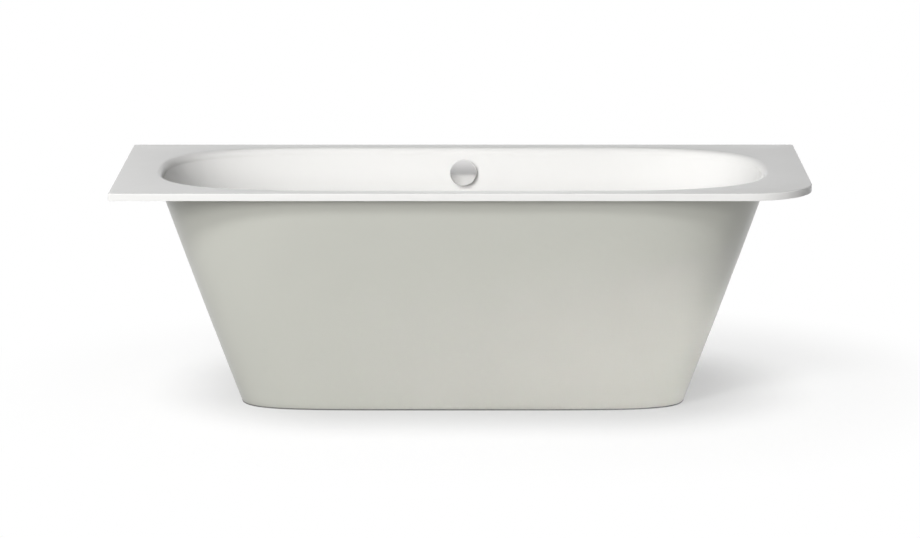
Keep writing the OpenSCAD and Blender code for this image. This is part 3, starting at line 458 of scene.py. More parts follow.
def oval(angle: float, straight: float, half_length: float, half_width: float, power: float) -> Pair:
    """A point in one quarter of a long oval: a superellipse with a straight stretch along each side.

    Args:
        angle: from 0 at the oval's end to a quarter of a turn at its side.
        straight: half the length of the straight stretch.
        half_length: half the oval's length.
        half_width: half its width.
        power: its squareness, 2 for an ellipse and more for a squarer one.

    Returns:
        The point's distances from the middle, along the oval and across it.
    """
    along = max(0.0, math.cos(angle)) ** (2 / power)
    return straight + (half_length - straight) * along, half_width * math.sin(angle) ** (2 / power)


def link(name: str, data: bpy.types.ID) -> bpy.types.Object:
    """Puts a new object into the scene.

    Args:
        name: its name.
        data: its mesh, curve, lamp or camera.

    Returns:
        The object.
    """
    made = bpy.data.objects.new(name, data)
    bpy.context.scene.collection.objects.link(made)
    return made


def smooth(mesh: bpy.types.Mesh, crease: float) -> None:
    """Shades a mesh smooth, apart from edges above the crease angle in degrees."""
    mesh.polygons.foreach_set("use_smooth", [True] * len(mesh.polygons))
    mesh.set_sharp_from_angle(angle=math.radians(crease))


def thicken(piece: bpy.types.Object, wall: float) -> None:
    """Gives an open sheet its wall, behind its faces."""
    sheet = piece.modifiers.new("sheet", "SOLIDIFY")
    sheet.thickness, sheet.offset, sheet.use_even_offset = wall, -1.0, True


def settle(piece: bpy.types.Object, crease: float = CREASE) -> None:
    """Applies a piece's modifiers to its mesh.

    Args:
        piece: the piece.
        crease: angle in degrees above which an edge stays sharp.
    """
    bpy.context.view_layer.update()
    graph = bpy.context.evaluated_depsgraph_get()
    mesh = bpy.data.meshes.new_from_object(piece.evaluated_get(graph))
    piece.modifiers.clear()
    old = piece.data
    piece.data = mesh
    bpy.data.meshes.remove(old)
    smooth(mesh, crease)


class Shaper:
    """One bmesh that is shaped with operators and ends as a piece at the origin."""

    def __init__(self) -> None:
        """Starts an empty mesh."""
        self.bm = bmesh.new()

    def ring(self, outline: Outline, count: int) -> list[bmesh.types.BMVert]:
        """Starts a closed ring.

        Args:
            outline: the place of each point by its number.
            count: how many points there are.

        Returns:
            The ring's points in order.
        """
        points = bmesh.ops.create_circle(self.bm, segments=count, radius=1.0)["verts"]
        for index, point in enumerate(points):
            point.co = outline(index)
        return points

    def grow(self, ring: list[bmesh.types.BMVert], outline: Outline) -> list[bmesh.types.BMVert]:
        """Extrudes a ring and moves the new one to an outline.

        Args:
            ring: the ring's points in order.
            outline: the place of each new point by its number.

        Returns:
            The new ring's points in order.
        """
        count = len(ring)
        edges = [self.bm.edges.get((ring[i], ring[(i + 1) % count])) for i in range(count)]
        grown = bmesh.ops.extrude_edge_only(self.bm, edges=edges)["geom"]
        fresh = {item for item in grown if isinstance(item, bmesh.types.BMVert)}
        new = [next(e.other_vert(p) for e in p.link_edges if e.other_vert(p) in fresh) for p in ring]
        for index, point in enumerate(new):
            point.co = outline(index)
        return new

    def turned(self, profile: Profile, steps: int = Facets.RING) -> None:
        """Spins a profile of (radius, height) points round the Z axis into a closed shell.

        Args:
            profile: the points from axis to axis, or round a ring that stays off the axis.
            steps: faces of a full turn.
        """
        points = [self.bm.verts.new((r, 0.0, z)) for r, z in profile]
        pairs = list(zip(points, points[1:]))
        if profile[0][0] > 0:
            pairs.append((points[-1], points[0]))
        edges = [self.bm.edges.new(pair) for pair in pairs]
        bmesh.ops.spin(self.bm, geom=points + edges, cent=(0, 0, 0), axis=(0, 0, 1), angle=math.tau,
                       steps=steps, use_merge=True)
        bmesh.ops.remove_doubles(self.bm, verts=self.bm.verts, dist=MERGE)
        bmesh.ops.recalc_face_normals(self.bm, faces=self.bm.faces)

    def thread(self, crest: float, pitch: float, low: float, high: float) -> None:
        """Winds the ridge of a screw thread round the Z axis, as a closed shell with flat ends.

        Args:
            crest: radius of the thread's crest.
            pitch: rise of one turn.
            low: where the thread begins.
            high: where it ends.
        """
        root = crest - THREAD_DEPTH * pitch
        tooth = zip((root, crest, crest, root), TOOTH)
        points = [self.bm.verts.new((r, 0.0, low + share * pitch)) for r, share in tooth]
        edges = [self.bm.edges.new(pair) for pair in zip(points, points[1:] + points[:1])]
        turns = int((high - low) / pitch) - 1
        bmesh.ops.spin(self.bm, geom=points + edges, cent=(0, 0, 0), axis=(0, 0, 1), angle=math.tau * turns,
                       steps=Facets.THREAD * turns, dvec=(0, 0, pitch / Facets.THREAD))
        bmesh.ops.remove_doubles(self.bm, verts=self.bm.verts, dist=MERGE)
        bmesh.ops.holes_fill(self.bm, edges=[edge for edge in self.bm.edges if edge.is_boundary], sides=0)
        bmesh.ops.recalc_face_normals(self.bm, faces=self.bm.faces)

    def block(self, size: Place, place: Matrix, bevel: float) -> None:
        """Adds a bar with rounded edges.

        Args:
            size: its length, width and height.
            place: where its middle lies and how it is turned.
            bevel: radius of its edges.
        """
        stretch = place @ Matrix.Diagonal((*size, 1.0))
        made = bmesh.ops.create_cube(self.bm, size=1.0, matrix=stretch)["verts"]
        edges = list({edge for point in made for edge in point.link_edges})
        bmesh.ops.bevel(self.bm, geom=edges, offset=bevel, segments=2, profile=0.5, affect="EDGES",
                        material=-1)

    def move(self, place: Matrix) -> None:
        """Moves all that is shaped so far."""
        bmesh.ops.transform(self.bm, matrix=place, verts=self.bm.verts)

    def face_up(self, probe: Callable[[bmesh.types.BMFace], bool], way: Place) -> None:
        """Recalculates the normals of an open sheet, and turns them if a probed face looks the wrong way.

        Args:
            probe: picks a face to look at.
            way: the direction that the face has to look in.
        """
        bmesh.ops.recalc_face_normals(self.bm, faces=self.bm.faces)
        looked_at = next(face for face in self.bm.faces if probe(face))
        if looked_at.normal.dot(Vector(way)) < 0:
            bmesh.ops.reverse_faces(self.bm, faces=self.bm.faces)

    def piece(self, name: str, crease: float = CREASE) -> bpy.types.Object:
        """Ends the shaping.

        Args:
            name: the piece's name.
            crease: angle in degrees above which an edge stays sharp.

        Returns:
            The new object.
        """
        mesh = bpy.data.meshes.new(name)
        self.bm.to_mesh(mesh)
        self.bm.free()
        smooth(mesh, crease)
        return link(name, mesh)


@dataclass
class Assembly:
    """A sub-assembly, which finishes its pieces and puts them on their bodies.

    Attributes:
        paints: the materials.
    """

    paints: Paintbox

    def mount(self, piece: bpy.types.Object, body: Body, finish: Finish, node: str) -> None:
        """Puts a finished piece on its body in place of a CAD node, and reports it.

        Args:
            piece: the piece.
            body: the body that it rides on.
            finish: its finish.
            node: the CAD node that it stands for.
        """
        self.paints.dress(piece, finish)
        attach(piece, body.value)
        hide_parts(node)
        LOG.info("%s: in %s on %s, in place of %s", piece.name, finish.name, body.value, node)


# The tub


@dataclass
class Tub(Assembly):
    """The pressed and enamelled tub.

    Attributes:
        length, width, height: the outer size.
        wall: thickness of the sheet.
        side, end: width of the flat rim along the sides and at the ends.
        edge_h: height of the turned-down edge.
        free_r, square_r: radius of the free front corner and of the other corners.
        edge_r: radius of the rim's outer edge.
        depth: depth of the basin, without the fall of its floor.
        fall: how far the floor falls to the waste.
        straight: half the length of the basin's straight stretches.
        power: squareness of the basin's outline.
        lip_r: radius between the rim and the basin.
        crease: depth of the crease, where the basin's wall begins to lean.
        crease_r: radius of the crease.
        end_slope, side_slope: lean of the basin's wall from the vertical in degrees.
        end_blend, side_blend: radius between the wall and the floor.
        fall_r, well_r: radius where the floor begins to fall and where it is level again.
        bore_r: radius of the bores for the waste and for the overflow.
        overflow_depth: depth of the overflow's centre.
        cutter_h: height of the cylinder that bores the overflow.
        quarter: steps of a quarter of the outlines.
        edge_steps: how many of them lie on each straight edge of the rim.
        lip_steps, crease_steps, slope_steps, blend_steps: steps of the wall's profile.
        fold_steps: steps of the rim's outer edge.
        fall_rings: where the rings of the falling floor lie, as shares of the way to the waste.
        turn: the points of an outline in order, as the signs of x and y and the step in the quarter.
    """

    length: float = 1.8
    width: float = 0.8
    height: float = 0.59
    wall: float = 0.003
    side: float = 0.043
    end: float = 0.097
    edge_h: float = 0.019
    free_r: float = 0.17
    square_r: float = 0.006
    edge_r: float = 0.003
    depth: float = 0.47
    fall: float = 0.006
    straight: float = 0.3
    power: float = 2.85
    lip_r: float = 0.017
    crease: float = 0.02
    crease_r: float = 0.004
    end_slope: float = 25.0
    side_slope: float = 9.0
    end_blend: float = 0.1
    side_blend: float = 0.08
    fall_r: float = 0.17
    well_r: float = 0.047
    bore_r: float = 0.026
    overflow_depth: float = 0.067
    cutter_h: float = 0.03
    quarter: int = 56
    edge_steps: int = 10
    lip_steps: int = 12
    crease_steps: int = 3
    slope_steps: int = 6
    blend_steps: int = 16
    fold_steps: int = 5
    fall_rings: tuple[float, ...] = (0.0, 0.12, 0.3, 0.5, 0.7, 0.88, 1.0)
    turn: list[tuple[int, int, int]] = field(init=False)

    def __post_init__(self) -> None:
        """Lays out the order of the points round the tub."""
        q = self.quarter
        self.turn = [(1, 1, j) for j in range(q + 1)] + [(-1, 1, j) for j in range(q, -1, -1)]
        self.turn += [(-1, -1, j) for j in range(1, q + 1)] + [(1, -1, j) for j in range(q, 0, -1)]

    def overflow_frame(self) -> Matrix:
        """The frame of the overflow on the basin's back wall.

        Returns:
            The frame, with +Z out of the wall into the basin.
        """
        slope = math.radians(self.side_slope)
        inset = self.lip_r + (self.overflow_depth - self.crease) * math.tan(slope)
        place = Vector((0, self.width / 2 - self.side - inset, self.height - self.overflow_depth))
        return Matrix.Translation(place) @ Matrix.Rotation(math.pi / 2 - slope, 4, "X")

    def profile(self, slope: float, blend: float) -> Profile:
        """Inset and depth of the basin's wall from the rim to the floor.

        Args:
            slope: the wall's lean from the vertical in degrees.
            blend: radius between the wall and the floor.

        Returns:
            The points, from the opening's edge to the floor.
        """
        lean, floor = math.radians(slope), self.depth - blend
        inset = self.lip_r + (floor + blend * math.sin(lean) - self.crease) * math.tan(lean)
        bend = (self.lip_r + self.crease_r, self.crease - self.crease_r * math.tan(lean / 2))
        lip = arc((0.0, self.lip_r), self.lip_r, -90, 0, self.lip_steps)[:-1]
        crease = arc(bend, self.crease_r, 180, 180 - slope, self.crease_steps)
        foot = arc((inset + blend * math.cos(lean), floor), blend, 180 - slope, 90, self.blend_steps)
        (x, z), (low_x, low_z), n = crease[-1], foot[0], self.slope_steps
        wall = [(x + (low_x - x) * i / n, z + (low_z - z) * i / n) for i in range(1, n)]
        return lip + crease + wall + foot

    def on_basin(self, end: Pair, side: Pair, index: int) -> Vector:
        """A point of an outline of the basin.

        Args:
            end: inset and depth of the outline at the tub's ends.
            side: inset and depth of the outline along its sides.
            index: the point's number.

        Returns:
            The point.
        """
        sx, sy, j = self.turn[index]
        angle = math.pi / 2 * j / self.quarter
        x, y = oval(angle, self.straight, self.length / 2 - self.end - end[0],
                    self.width / 2 - self.side - side[0], self.power)
        share = math.cos(angle) ** 2
        return Vector((sx * x, sy * y, self.height - end[1] * share - side[1] * (1 - share)))

    def on_rim(self, inset: float, z: float, index: int) -> Vector:
        """A point of an outline of the rim.

        Args:
            inset: how far the outline lies inside the tub's outer edge.
            z: its height.
            index: the point's number.

        Returns:
            The point.
        """
        sx, sy, j = self.turn[index]
        first, last = self.edge_steps, self.quarter - self.edge_steps
        r = (self.free_r if sx > 0 > sy else self.square_r) - inset
        hl, hw = self.length / 2 - inset, self.width / 2 - inset
        if j <= first:
            return Vector((sx * hl, sy * (hw - r) * j / first, z))
        if j < last:
            a = math.pi / 2 * (j - first) / (last - first)
            return Vector((sx * (hl - r + r * math.cos(a)), sy * (hw - r + r * math.sin(a)), z))
        x = self.straight + (hl - r - self.straight) * (self.quarter - j) / self.edge_steps
        return Vector((sx * x, sy * hw, z))

    def on_circle(self, radius: float, z: float, index: int) -> Vector:
        """A point of a circle round the waste, whose points lie evenly round the whole turn.

        Args:
            radius: the circle's radius.
            z: its height.
            index: the point's number.

        Returns:
            The point.
        """
        sx, sy, j = self.turn[index]
        a = math.tau * j / len(self.turn)
        return Vector((sx * radius * math.cos(a), sy * radius * math.sin(a), z))

    def build(self) -> None:
        """Lofts the sheet from the rim's foot to the waste, gives it its wall and bores the overflow."""
        fold = arc((self.edge_r, self.height - self.edge_r), self.edge_r, 180, 90, self.fold_steps)
        ends = self.profile(self.end_slope, self.end_blend)
        sides = self.profile(self.side_slope, self.side_blend)
        outlines = [partial(self.on_rim, 0.0, self.height - self.edge_h)]
        outlines += [partial(self.on_rim, inset, z) for inset, z in fold]
        outlines += [partial(self.on_basin, end, side) for end, side in zip(ends, sides)]
        floor = self.height - self.depth
        for share in self.fall_rings:
            drop = self.fall * (3 * share ** 2 - 2 * share ** 3)  # level where it begins and ends
            radius = self.fall_r + (self.well_r - self.fall_r) * share
            outlines.append(partial(self.on_circle, radius, floor - drop))
        outlines.append(partial(self.on_circle, self.bore_r, floor - self.fall))
        shaper = Shaper()
        ring = shaper.ring(outlines[0], len(self.turn))
        for outline in outlines[1:]:
            ring = shaper.grow(ring, outline)
        shaper.face_up(lambda face: face.calc_center_median().z > self.height - MERGE, (0, 0, 1))
        tub = shaper.piece("enamelled_tub")
        thicken(tub, self.wall)
        cutter = self.overflow_cutter()
        bore = tub.modifiers.new("bore", "BOOLEAN")
        bore.operation, bore.solver, bore.object = "DIFFERENCE", "EXACT", cutter
        settle(tub)
        bpy.data.objects.remove(cutter)
        self.mount(tub, Body.TUB, ENAMEL, "tub_shell")

    def overflow_cutter(self) -> bpy.types.Object:
        """Makes the cylinder that bores the overflow.

        Returns:
            The cylinder, which isn't a piece.
        """
        shaper = Shaper()
        bmesh.ops.create_cone(shaper.bm, cap_ends=True, segments=Facets.BORE, radius1=self.bore_r,
                              radius2=self.bore_r, depth=self.cutter_h, matrix=self.overflow_frame())
        return shaper.piece("cutter")


# The panel


@dataclass
class Panel(Assembly):
    """The tapered panel round the front and both ends. A pair of sizes holds at its top and at its foot.

    Attributes:
        edge: height of its edge.
        half_length: distance of its wings from the middle of the tub.
        half_width: distance of its front from the middle of the tub.
        straight: half the length of the straight stretch of its front.
        power: squareness of its front corners.
        wall: thickness of the sheet.
        wing_back: where its wings end, at the wall.
        quarter: steps of one half of its front.
        wing_steps: steps of a wing.
        rows: steps of its height.
        round_r, round_steps: radius and steps of the sheet's edges.
        round_from: angle in degrees from which an edge is rounded.
        crease: angle in degrees above which an edge stays sharp.
        middle: half the width of the strip in which a face is sure to look to the front.
    """

    edge: Pair = (0.5855, 0.003)
    half_length: Pair = (0.804, 0.583)
    half_width: Pair = (0.368, 0.283)
    straight: Pair = (0.3, 0.02)
    power: Pair = (2.85, 5.6)
    wall: float = 0.004
    wing_back: float = 0.3965
    quarter: int = 60
    wing_steps: int = 6
    rows: int = 40
    round_r: float = 0.0009
    round_steps: int = 2
    round_from: float = 60.0
    crease: float = 50.0
    middle: float = 0.05

    def place(self, step: int, row: int) -> Vector:
        """Place of one point of the sheet.

        Args:
            step: along the panel, from the right wing round the front to the left wing.
            row: from the rim down to the floor.

        Returns:
            The point.
        """
        z, half_length, half_width, straight, power = (
            top + (foot - top) * row / self.rows
            for top, foot in (self.edge, self.half_length, self.half_width, self.straight, self.power))
        half = self.wing_steps + self.quarter
        side, along = (1, step) if step <= half else (-1, 2 * half + 1 - step)
        if along <= self.wing_steps:
            return Vector((side * half_length, self.wing_back * (1 - along / self.wing_steps), z))
        angle = math.pi / 2 * (along - self.wing_steps) / self.quarter
        x, y = oval(angle, straight, half_length, half_width, power)
        return Vector((side * x, -y, z))

    def build(self) -> None:
        """Bends a grid to the panel's shape, gives it its wall and rounds its edges."""
        columns = 2 * (self.wing_steps + self.quarter) + 1
        shaper = Shaper()
        # The grid is a metre square about the origin, so that a point's place gives its step and its row
        bmesh.ops.create_grid(shaper.bm, x_segments=columns, y_segments=self.rows, size=0.5)
        for point in shaper.bm.verts:
            step = round((point.co.x + 0.5) * columns)
            row = round((point.co.y + 0.5) * self.rows)
            point.co = self.place(step, row)
        shaper.face_up(lambda face: abs(face.calc_center_median().x) < self.middle, (0, -1, 0))
        panel = shaper.piece("tub_panel", self.crease)
        thicken(panel, self.wall)
        edge = panel.modifiers.new("edge", "BEVEL")
        edge.width, edge.segments = self.round_r, self.round_steps
        edge.limit_method, edge.angle_limit = "ANGLE", math.radians(self.round_from)
        settle(panel, self.crease)
        self.mount(panel, Body.TUB, LACQUER, "front_panel")


# The overflow control, the waste and the feet


@dataclass
class Control(Assembly):
    """The rotary knob of the overflow.

    Attributes:
        radius: radius of the knob.
        height: height of its face over the basin wall.
        gap: gap behind it for the overflowing water.
        edge: radius of its edge.
        rise: height of its dome.
        skirt: thickness of its skirt.
        lip: radius of the skirt's foot.
        face: thickness in the middle of its face.
        corner_low, corner_high: where the slanted corner inside begins and ends, under the dome's edge.
        hub_r, bore_r: radius of its hub and of the hub's bore.
        hub_low, hub_high: how far the hub stays from the skirt's foot and from the top of the face.
        dome_steps, edge_steps, lip_steps: steps of the profile.
    """

    radius: float = 36 * MM
    height: float = 20 * MM
    gap: float = 5 * MM
    edge: float = 3 * MM
    rise: float = 2.5 * MM
    skirt: float = 3 * MM
    lip: float = 0.4 * MM
    face: float = 5 * MM
    corner_low: float = 7 * MM
    corner_high: float = 4 * MM
    hub_r: float = 8 * MM
    bore_r: float = 4 * MM + CLEARANCE
    hub_low: float = 1 * MM
    hub_high: float = 4.5 * MM
    dome_steps: int = 16
    edge_steps: int = 8
    lip_steps: int = 3

    def build(self, wall: Matrix) -> None:
        """Spins the knob and its hub and sets them on the basin wall.

        Args:
            wall: the frame of the overflow, +Z out of the wall.
        """
        flat, inner = self.radius - self.edge, self.radius - self.skirt
        shoulder, foot = self.height - self.rise, self.gap + self.lip
        profile = dome(flat, self.rise, shoulder, self.dome_steps)
        profile += arc((flat, shoulder - self.edge), self.edge, 90, 0, self.edge_steps)[1:]
        profile += arc((self.radius - self.lip, foot), self.lip, 0, -90, self.lip_steps)
        profile += arc((inner + self.lip, foot), self.lip, -90, -180, self.lip_steps)
        profile += [(inner, shoulder - self.corner_low), (inner - self.skirt, shoulder - self.corner_high),
                    (0.0, self.height - self.face)]
        low, high = self.gap + self.hub_low, self.height - self.hub_high
        shaper = Shaper()
        shaper.turned(profile, Facets.FACE)
        shaper.turned([(self.bore_r, low), (self.hub_r, low), (self.hub_r, high), (self.bore_r, high)])
        shaper.move(wall)
        self.mount(shaper.piece("knob"), Body.CONTROL, CHROME, "overflow_knob")


@dataclass
class Waste(Assembly):
    """The waste in the basin floor: its flange, the plug and the plug's seal.

    Attributes:
        top: height of the flange's top.
        plate: thickness of the flange.
        reach: radius of the flange.
        brim: radius of the flange's edge.
        seat_r, seat_z: top radius of the conical seat and the height of its foot.
        throat_r: radius of the bore under the seat.
        tube_r: outer radius of the tube in the floor's bore.
        guide_z, guide_h, guide_wall: foot, height and wall of the stem's guide.
        arm_w, arm_h, arm_edge: width, height and edge radius of the arms that hold the guide.
        arm_root: how far an arm runs into the guide and into the tube.
        arms: directions of the arms in degrees.
        stem_r: radius of the stem.
        stem_z: foot of the stem.
        neck_r: radius of the plug's neck.
        plug_r, plug_rise: radius and dome of the plug.
        plug_edge: height of the plug's edge.
        lip: radius of the small edges.
        seal_h: how far the seal reaches below the flange's top.
        seal_gap, seal_play: gap between the seal and the neck, and between the seal and its seat.
        slack: gap between the plug and the flange.
        brim_steps, dome_steps, lip_steps: steps of the profiles.
    """

    top: float = 118.5 * MM
    plate: float = 3 * MM
    reach: float = 35 * MM
    brim: float = 1.2 * MM
    seat_r: float = 28 * MM
    seat_z: float = 114 * MM
    throat_r: float = 22 * MM
    tube_r: float = 25 * MM
    guide_z: float = 92 * MM
    guide_h: float = 6 * MM
    guide_wall: float = 4 * MM
    arm_w: float = 4 * MM
    arm_h: float = 5 * MM
    arm_edge: float = 0.5 * MM
    arm_root: float = 0.5 * MM
    arms: tuple[float, ...] = (90, 210, 330)
    stem_r: float = 3.5 * MM
    stem_z: float = 76.8 * MM
    neck_r: float = 11 * MM
    plug_r: float = 31 * MM
    plug_rise: float = 3 * MM
    plug_edge: float = 1.5 * MM
    lip: float = 0.5 * MM
    seal_h: float = 2 * MM
    seal_gap: float = 1 * MM
    seal_play: float = 0.45 * MM
    slack: float = 0.3 * MM
    brim_steps: int = 5
    dome_steps: int = 14
    lip_steps: int = 3

    def flange(self) -> None:
        """Spins the flange and adds the arms and the guide of the stem."""
        low, foot = self.top - self.plate, self.guide_z
        shaper = Shaper()
        shaper.turned([(self.throat_r, foot), (self.tube_r, foot), (self.tube_r, low), (self.reach, low)]
                      + arc((self.reach - self.brim, self.top - self.brim), self.brim, 0, 90,
                            self.brim_steps)
                      + [(self.seat_r, self.top), (self.throat_r, self.seat_z)], Facets.FACE)
        bore, hub, head = self.stem_r + CLEARANCE, self.stem_r + self.guide_wall, foot + self.guide_h
        shaper.turned([(bore, foot), (hub, foot), (hub, head), (bore, head)], Facets.BORE)
        length = self.throat_r + 2 * self.arm_root - hub
        middle = (hub - self.arm_root + length / 2, 0, foot + self.arm_h / 2)
        for way in self.arms:
            place = Matrix.Rotation(math.radians(way), 4, "Z") @ Matrix.Translation(middle)
            shaper.block((length, self.arm_w, self.arm_h), place, self.arm_edge)
        self.mount(shaper.piece("drain_flange"), Body.TUB, CHROME, "waste_flange")

    def plug(self) -> None:
        """Spins the plug with its stem."""
        low, seal = self.top + self.slack, self.top - self.seal_h
        shoulder, edge = low + self.plug_edge, self.plug_r - self.lip
        shaper = Shaper()
        shaper.turned(dome(edge, self.plug_rise, shoulder, self.dome_steps)
                      + arc((edge, shoulder - self.lip), self.lip, 90, 0, self.lip_steps)[1:]
                      + arc((edge, low + self.lip), self.lip, 0, -90, self.lip_steps)
                      + [(self.neck_r, low), (self.neck_r, seal), (self.stem_r, seal),
                         (self.stem_r, self.stem_z + self.lip), (self.stem_r - self.lip, self.stem_z),
                         (0.0, self.stem_z)], Facets.FACE)
        self.mount(shaper.piece("drain_plug"), Body.STOPPER, CHROME, "plug")

    def seal(self) -> None:
        """Spins the seal under the plug, which follows the cone of the seat."""
        low, high = self.top - self.seal_h, self.top + self.slack
        slope = (self.seat_r - self.throat_r) / (self.top - self.seat_z)
        foot = self.throat_r + slope * (low - self.seat_z) - self.seal_play
        bore, edge = self.neck_r + self.seal_gap, self.seat_r - self.seal_play
        shaper = Shaper()
        shaper.turned([(bore, low), (foot - self.lip, low), (foot, low + self.lip),
                       (edge, self.top - self.slack), (edge, high), (bore, high)])
        self.mount(shaper.piece("plug_ring"), Body.STOPPER, BLACK_RUBBER, "plug_seal")

    def build(self) -> None:
        """Builds the flange, the plug and the seal."""
        self.flange()
        self.plug()
        self.seal()


@dataclass
class Feet(Assembly):
    """The four levelling feet: a threaded spindle in a swivel plate each.

    Attributes:
        across, along: distance of the feet from the middle of the tub.
        thread_r: radius of the thread.
        pitch: rise of one turn of the thread.
        root: depth of the spindle's core under the thread's crest, as a share of the pitch.
        top: top of the spindles.
        bare: length of the spindle's top that has no thread.
        collar_r: radius of the collar in the plate's socket.
        collar: foot and top of the collar.
        collar_foot: bevel of the collar's foot.
        bevel: bevel of the spindle's other edges.
        plate_r: radius of the plate.
        plate_h: height of the plate.
        plate_bevel: width and height of the bevels of the plate's foot and of its socket.
        brim_h, brim_r: height of the plate's brim and radius of its edge.
        cove: radius of the hollow between the brim and the socket.
        socket_wall: wall of the socket at its top.
        round_steps: steps of the brim's edge and of the hollow.
    """

    across: float = 330 * MM
    along: float = 205 * MM
    thread_r: float = 5 * MM
    pitch: float = 1.5 * MM
    root: float = 0.4
    top: float = 109 * MM
    bare: float = 1 * MM
    collar_r: float = 7 * MM
    collar: Pair = (4 * MM, 9 * MM)
    collar_foot: float = 1 * MM
    bevel: float = 0.5 * MM
    plate_r: float = 22 * MM
    plate_h: float = 10 * MM
    plate_bevel: Pair = (1 * MM, 0.6 * MM)
    brim_h: float = 3 * MM
    brim_r: float = 1 * MM
    cove: float = 4 * MM
    socket_wall: float = 3 * MM
    round_steps: int = 4

    def spindle(self, body: Body, place: Matrix) -> None:
        """Winds the thread of one foot's spindle and spins its core with the collar.

        Args:
            body: the body that the foot is.
            place: where it stands.
        """
        core, (low, high) = self.thread_r - self.root * self.pitch, self.collar
        shaper = Shaper()
        shaper.thread(self.thread_r, self.pitch, high, self.top - self.bare)
        shaper.turned([(0.0, self.top), (core - self.bevel, self.top), (core, self.top - self.bevel),
                       (core, high), (self.collar_r - self.bevel, high), (self.collar_r, high - self.bevel),
                       (self.collar_r, low + self.collar_foot), (self.collar_r - self.collar_foot, low),
                       (0.0, low)], Facets.ROD)
        shaper.move(place)
        self.mount(shaper.piece(f"{body.value}_thread"), body, ZINC,
                   body.value.replace("foot", "foot_spindle"))

    def plate(self, body: Body, place: Matrix) -> None:
        """Spins the swivel plate of one foot.

        Args:
            body: the body that the foot is.
            place: where it stands.
        """
        flat, wall = self.plate_r - self.brim_r, self.collar_r + self.socket_wall
        socket, seat = self.collar_r + CLEARANCE, self.collar[0] - CLEARANCE
        bevel_w, bevel_h = self.plate_bevel
        hollow = (flat - self.cove, self.brim_h + self.cove)
        shaper = Shaper()
        shaper.turned([(0.0, 0.0), (self.plate_r - bevel_w, 0.0), (self.plate_r, bevel_h)]
                      + arc((flat, self.brim_h - self.brim_r), self.brim_r, 0, 90, self.round_steps)
                      + arc(hollow, self.cove, -90, -120, self.round_steps)
                      + [(wall + bevel_w, self.plate_h - bevel_h), (wall, self.plate_h),
                         (socket, self.plate_h), (socket, seat), (0.0, seat)])
        shaper.move(place)
        self.mount(shaper.piece(f"{body.value}_swivel"), body, FOOT_PLASTIC,
                   body.value.replace("foot", "foot_plate"))

    def build(self) -> None:
        """Builds the four feet."""
        for body, x, y in ((Body.FRONT_LEFT, -1, -1), (Body.FRONT_RIGHT, 1, -1), (Body.BACK_LEFT, -1, 1),
                           (Body.BACK_RIGHT, 1, 1)):
            place = Matrix.Translation((x * self.across, y * self.along, 0))
            self.spindle(body, place)
            self.plate(body, place)


@dataclass
class Cable(Assembly):
    """The sheath of the control cable, from the overflow down behind the basin to the lifter under it.

    Attributes:
        diameter: its diameter.
        gland: where it leaves the overflow, in the frame of the overflow.
        lead: length of its straight stretch at that gland.
        route: its listed points between the glands.
        mouth: where it enters the lifter's gland.
        run_in: the last points before the mouth, seen from it.
        sides, steps: fineness of its section and of its line.
    """

    diameter: float = 6 * MM
    gland: Place = (-0.0135, -0.05, -0.023)
    lead: float = 20 * MM
    route: tuple[Place, ...] = (
        (-0.016, 0.338, 0.400), (-0.020, 0.333, 0.340), (-0.026, 0.328, 0.280), (-0.032, 0.322, 0.220),
        (-0.038, 0.308, 0.160), (-0.043, 0.285, 0.115), (-0.046, 0.250, 0.084), (-0.048, 0.210, 0.066))
    mouth: Place = (-0.048, 0.072, 0.06006)
    run_in: tuple[Place, ...] = ((0.0, 0.1, 1 * MM), (0.0, 0.05, 0.0), (0.0, 0.0, 0.0))
    sides: int = 6
    steps: int = 12

    def build(self, wall: Matrix) -> None:
        """Args:
            wall: the frame of the overflow, +Z out of the wall.
        """
        gland, mouth = Vector(self.gland), Vector(self.mouth)
        points = [wall @ gland, wall @ (gland - Vector((0, self.lead, 0)))]
        points += [Vector(point) for point in self.route] + [mouth + Vector(point) for point in self.run_in]
        curve = bpy.data.curves.new("cable_sheath", "CURVE")
        curve.dimensions, curve.bevel_depth, curve.bevel_resolution = "3D", self.diameter / 2, self.sides
        curve.resolution_u = curve.render_resolution_u = self.steps
        curve.use_fill_caps = True
        line = curve.splines.new("BEZIER")
        line.bezier_points.add(len(points) - 1)
        for knot, point in zip(line.bezier_points, points):
            knot.co = point
            knot.handle_left_type = knot.handle_right_type = "AUTO"
        cable = link("cable_sheath", curve)
        bpy.context.view_layer.update()
        self.mount(cable, Body.TUB, SHEATH, "control_cable")


# The studio


@dataclass(frozen=True)
class Lamp:
    """One area lamp, which lights the object and is seen by neither the camera nor gloss.

    Attributes:
        name: its name.
        place: where it hangs.
        target: what it points at.
        size: its width and its height.
        power: its power in watts.
        colour: its colour.
        spread: the angle of its beam in degrees.
    """

    name: str
    place: Place
    target: Place
    size: Pair
    power: float
    colour: Colour = WHITE
    spread: float = 180.0

    def hang(self) -> None:
        """Hangs the lamp in the scene."""
        data = bpy.data.lights.new(self.name, "AREA")
        data.shape, data.size, data.size_y = "RECTANGLE", *self.size
        data.energy, data.color, data.spread = self.power, self.colour, math.radians(self.spread)
        lamp = link(self.name, data)
        place = Vector(self.place)
        aim = (place - Vector(self.target)).to_track_quat("Z", "Y")
        lamp.matrix_world = Matrix.Translation(place) @ aim.to_matrix().to_4x4()
        lamp.visible_glossy = False
        lamp.visible_camera = False


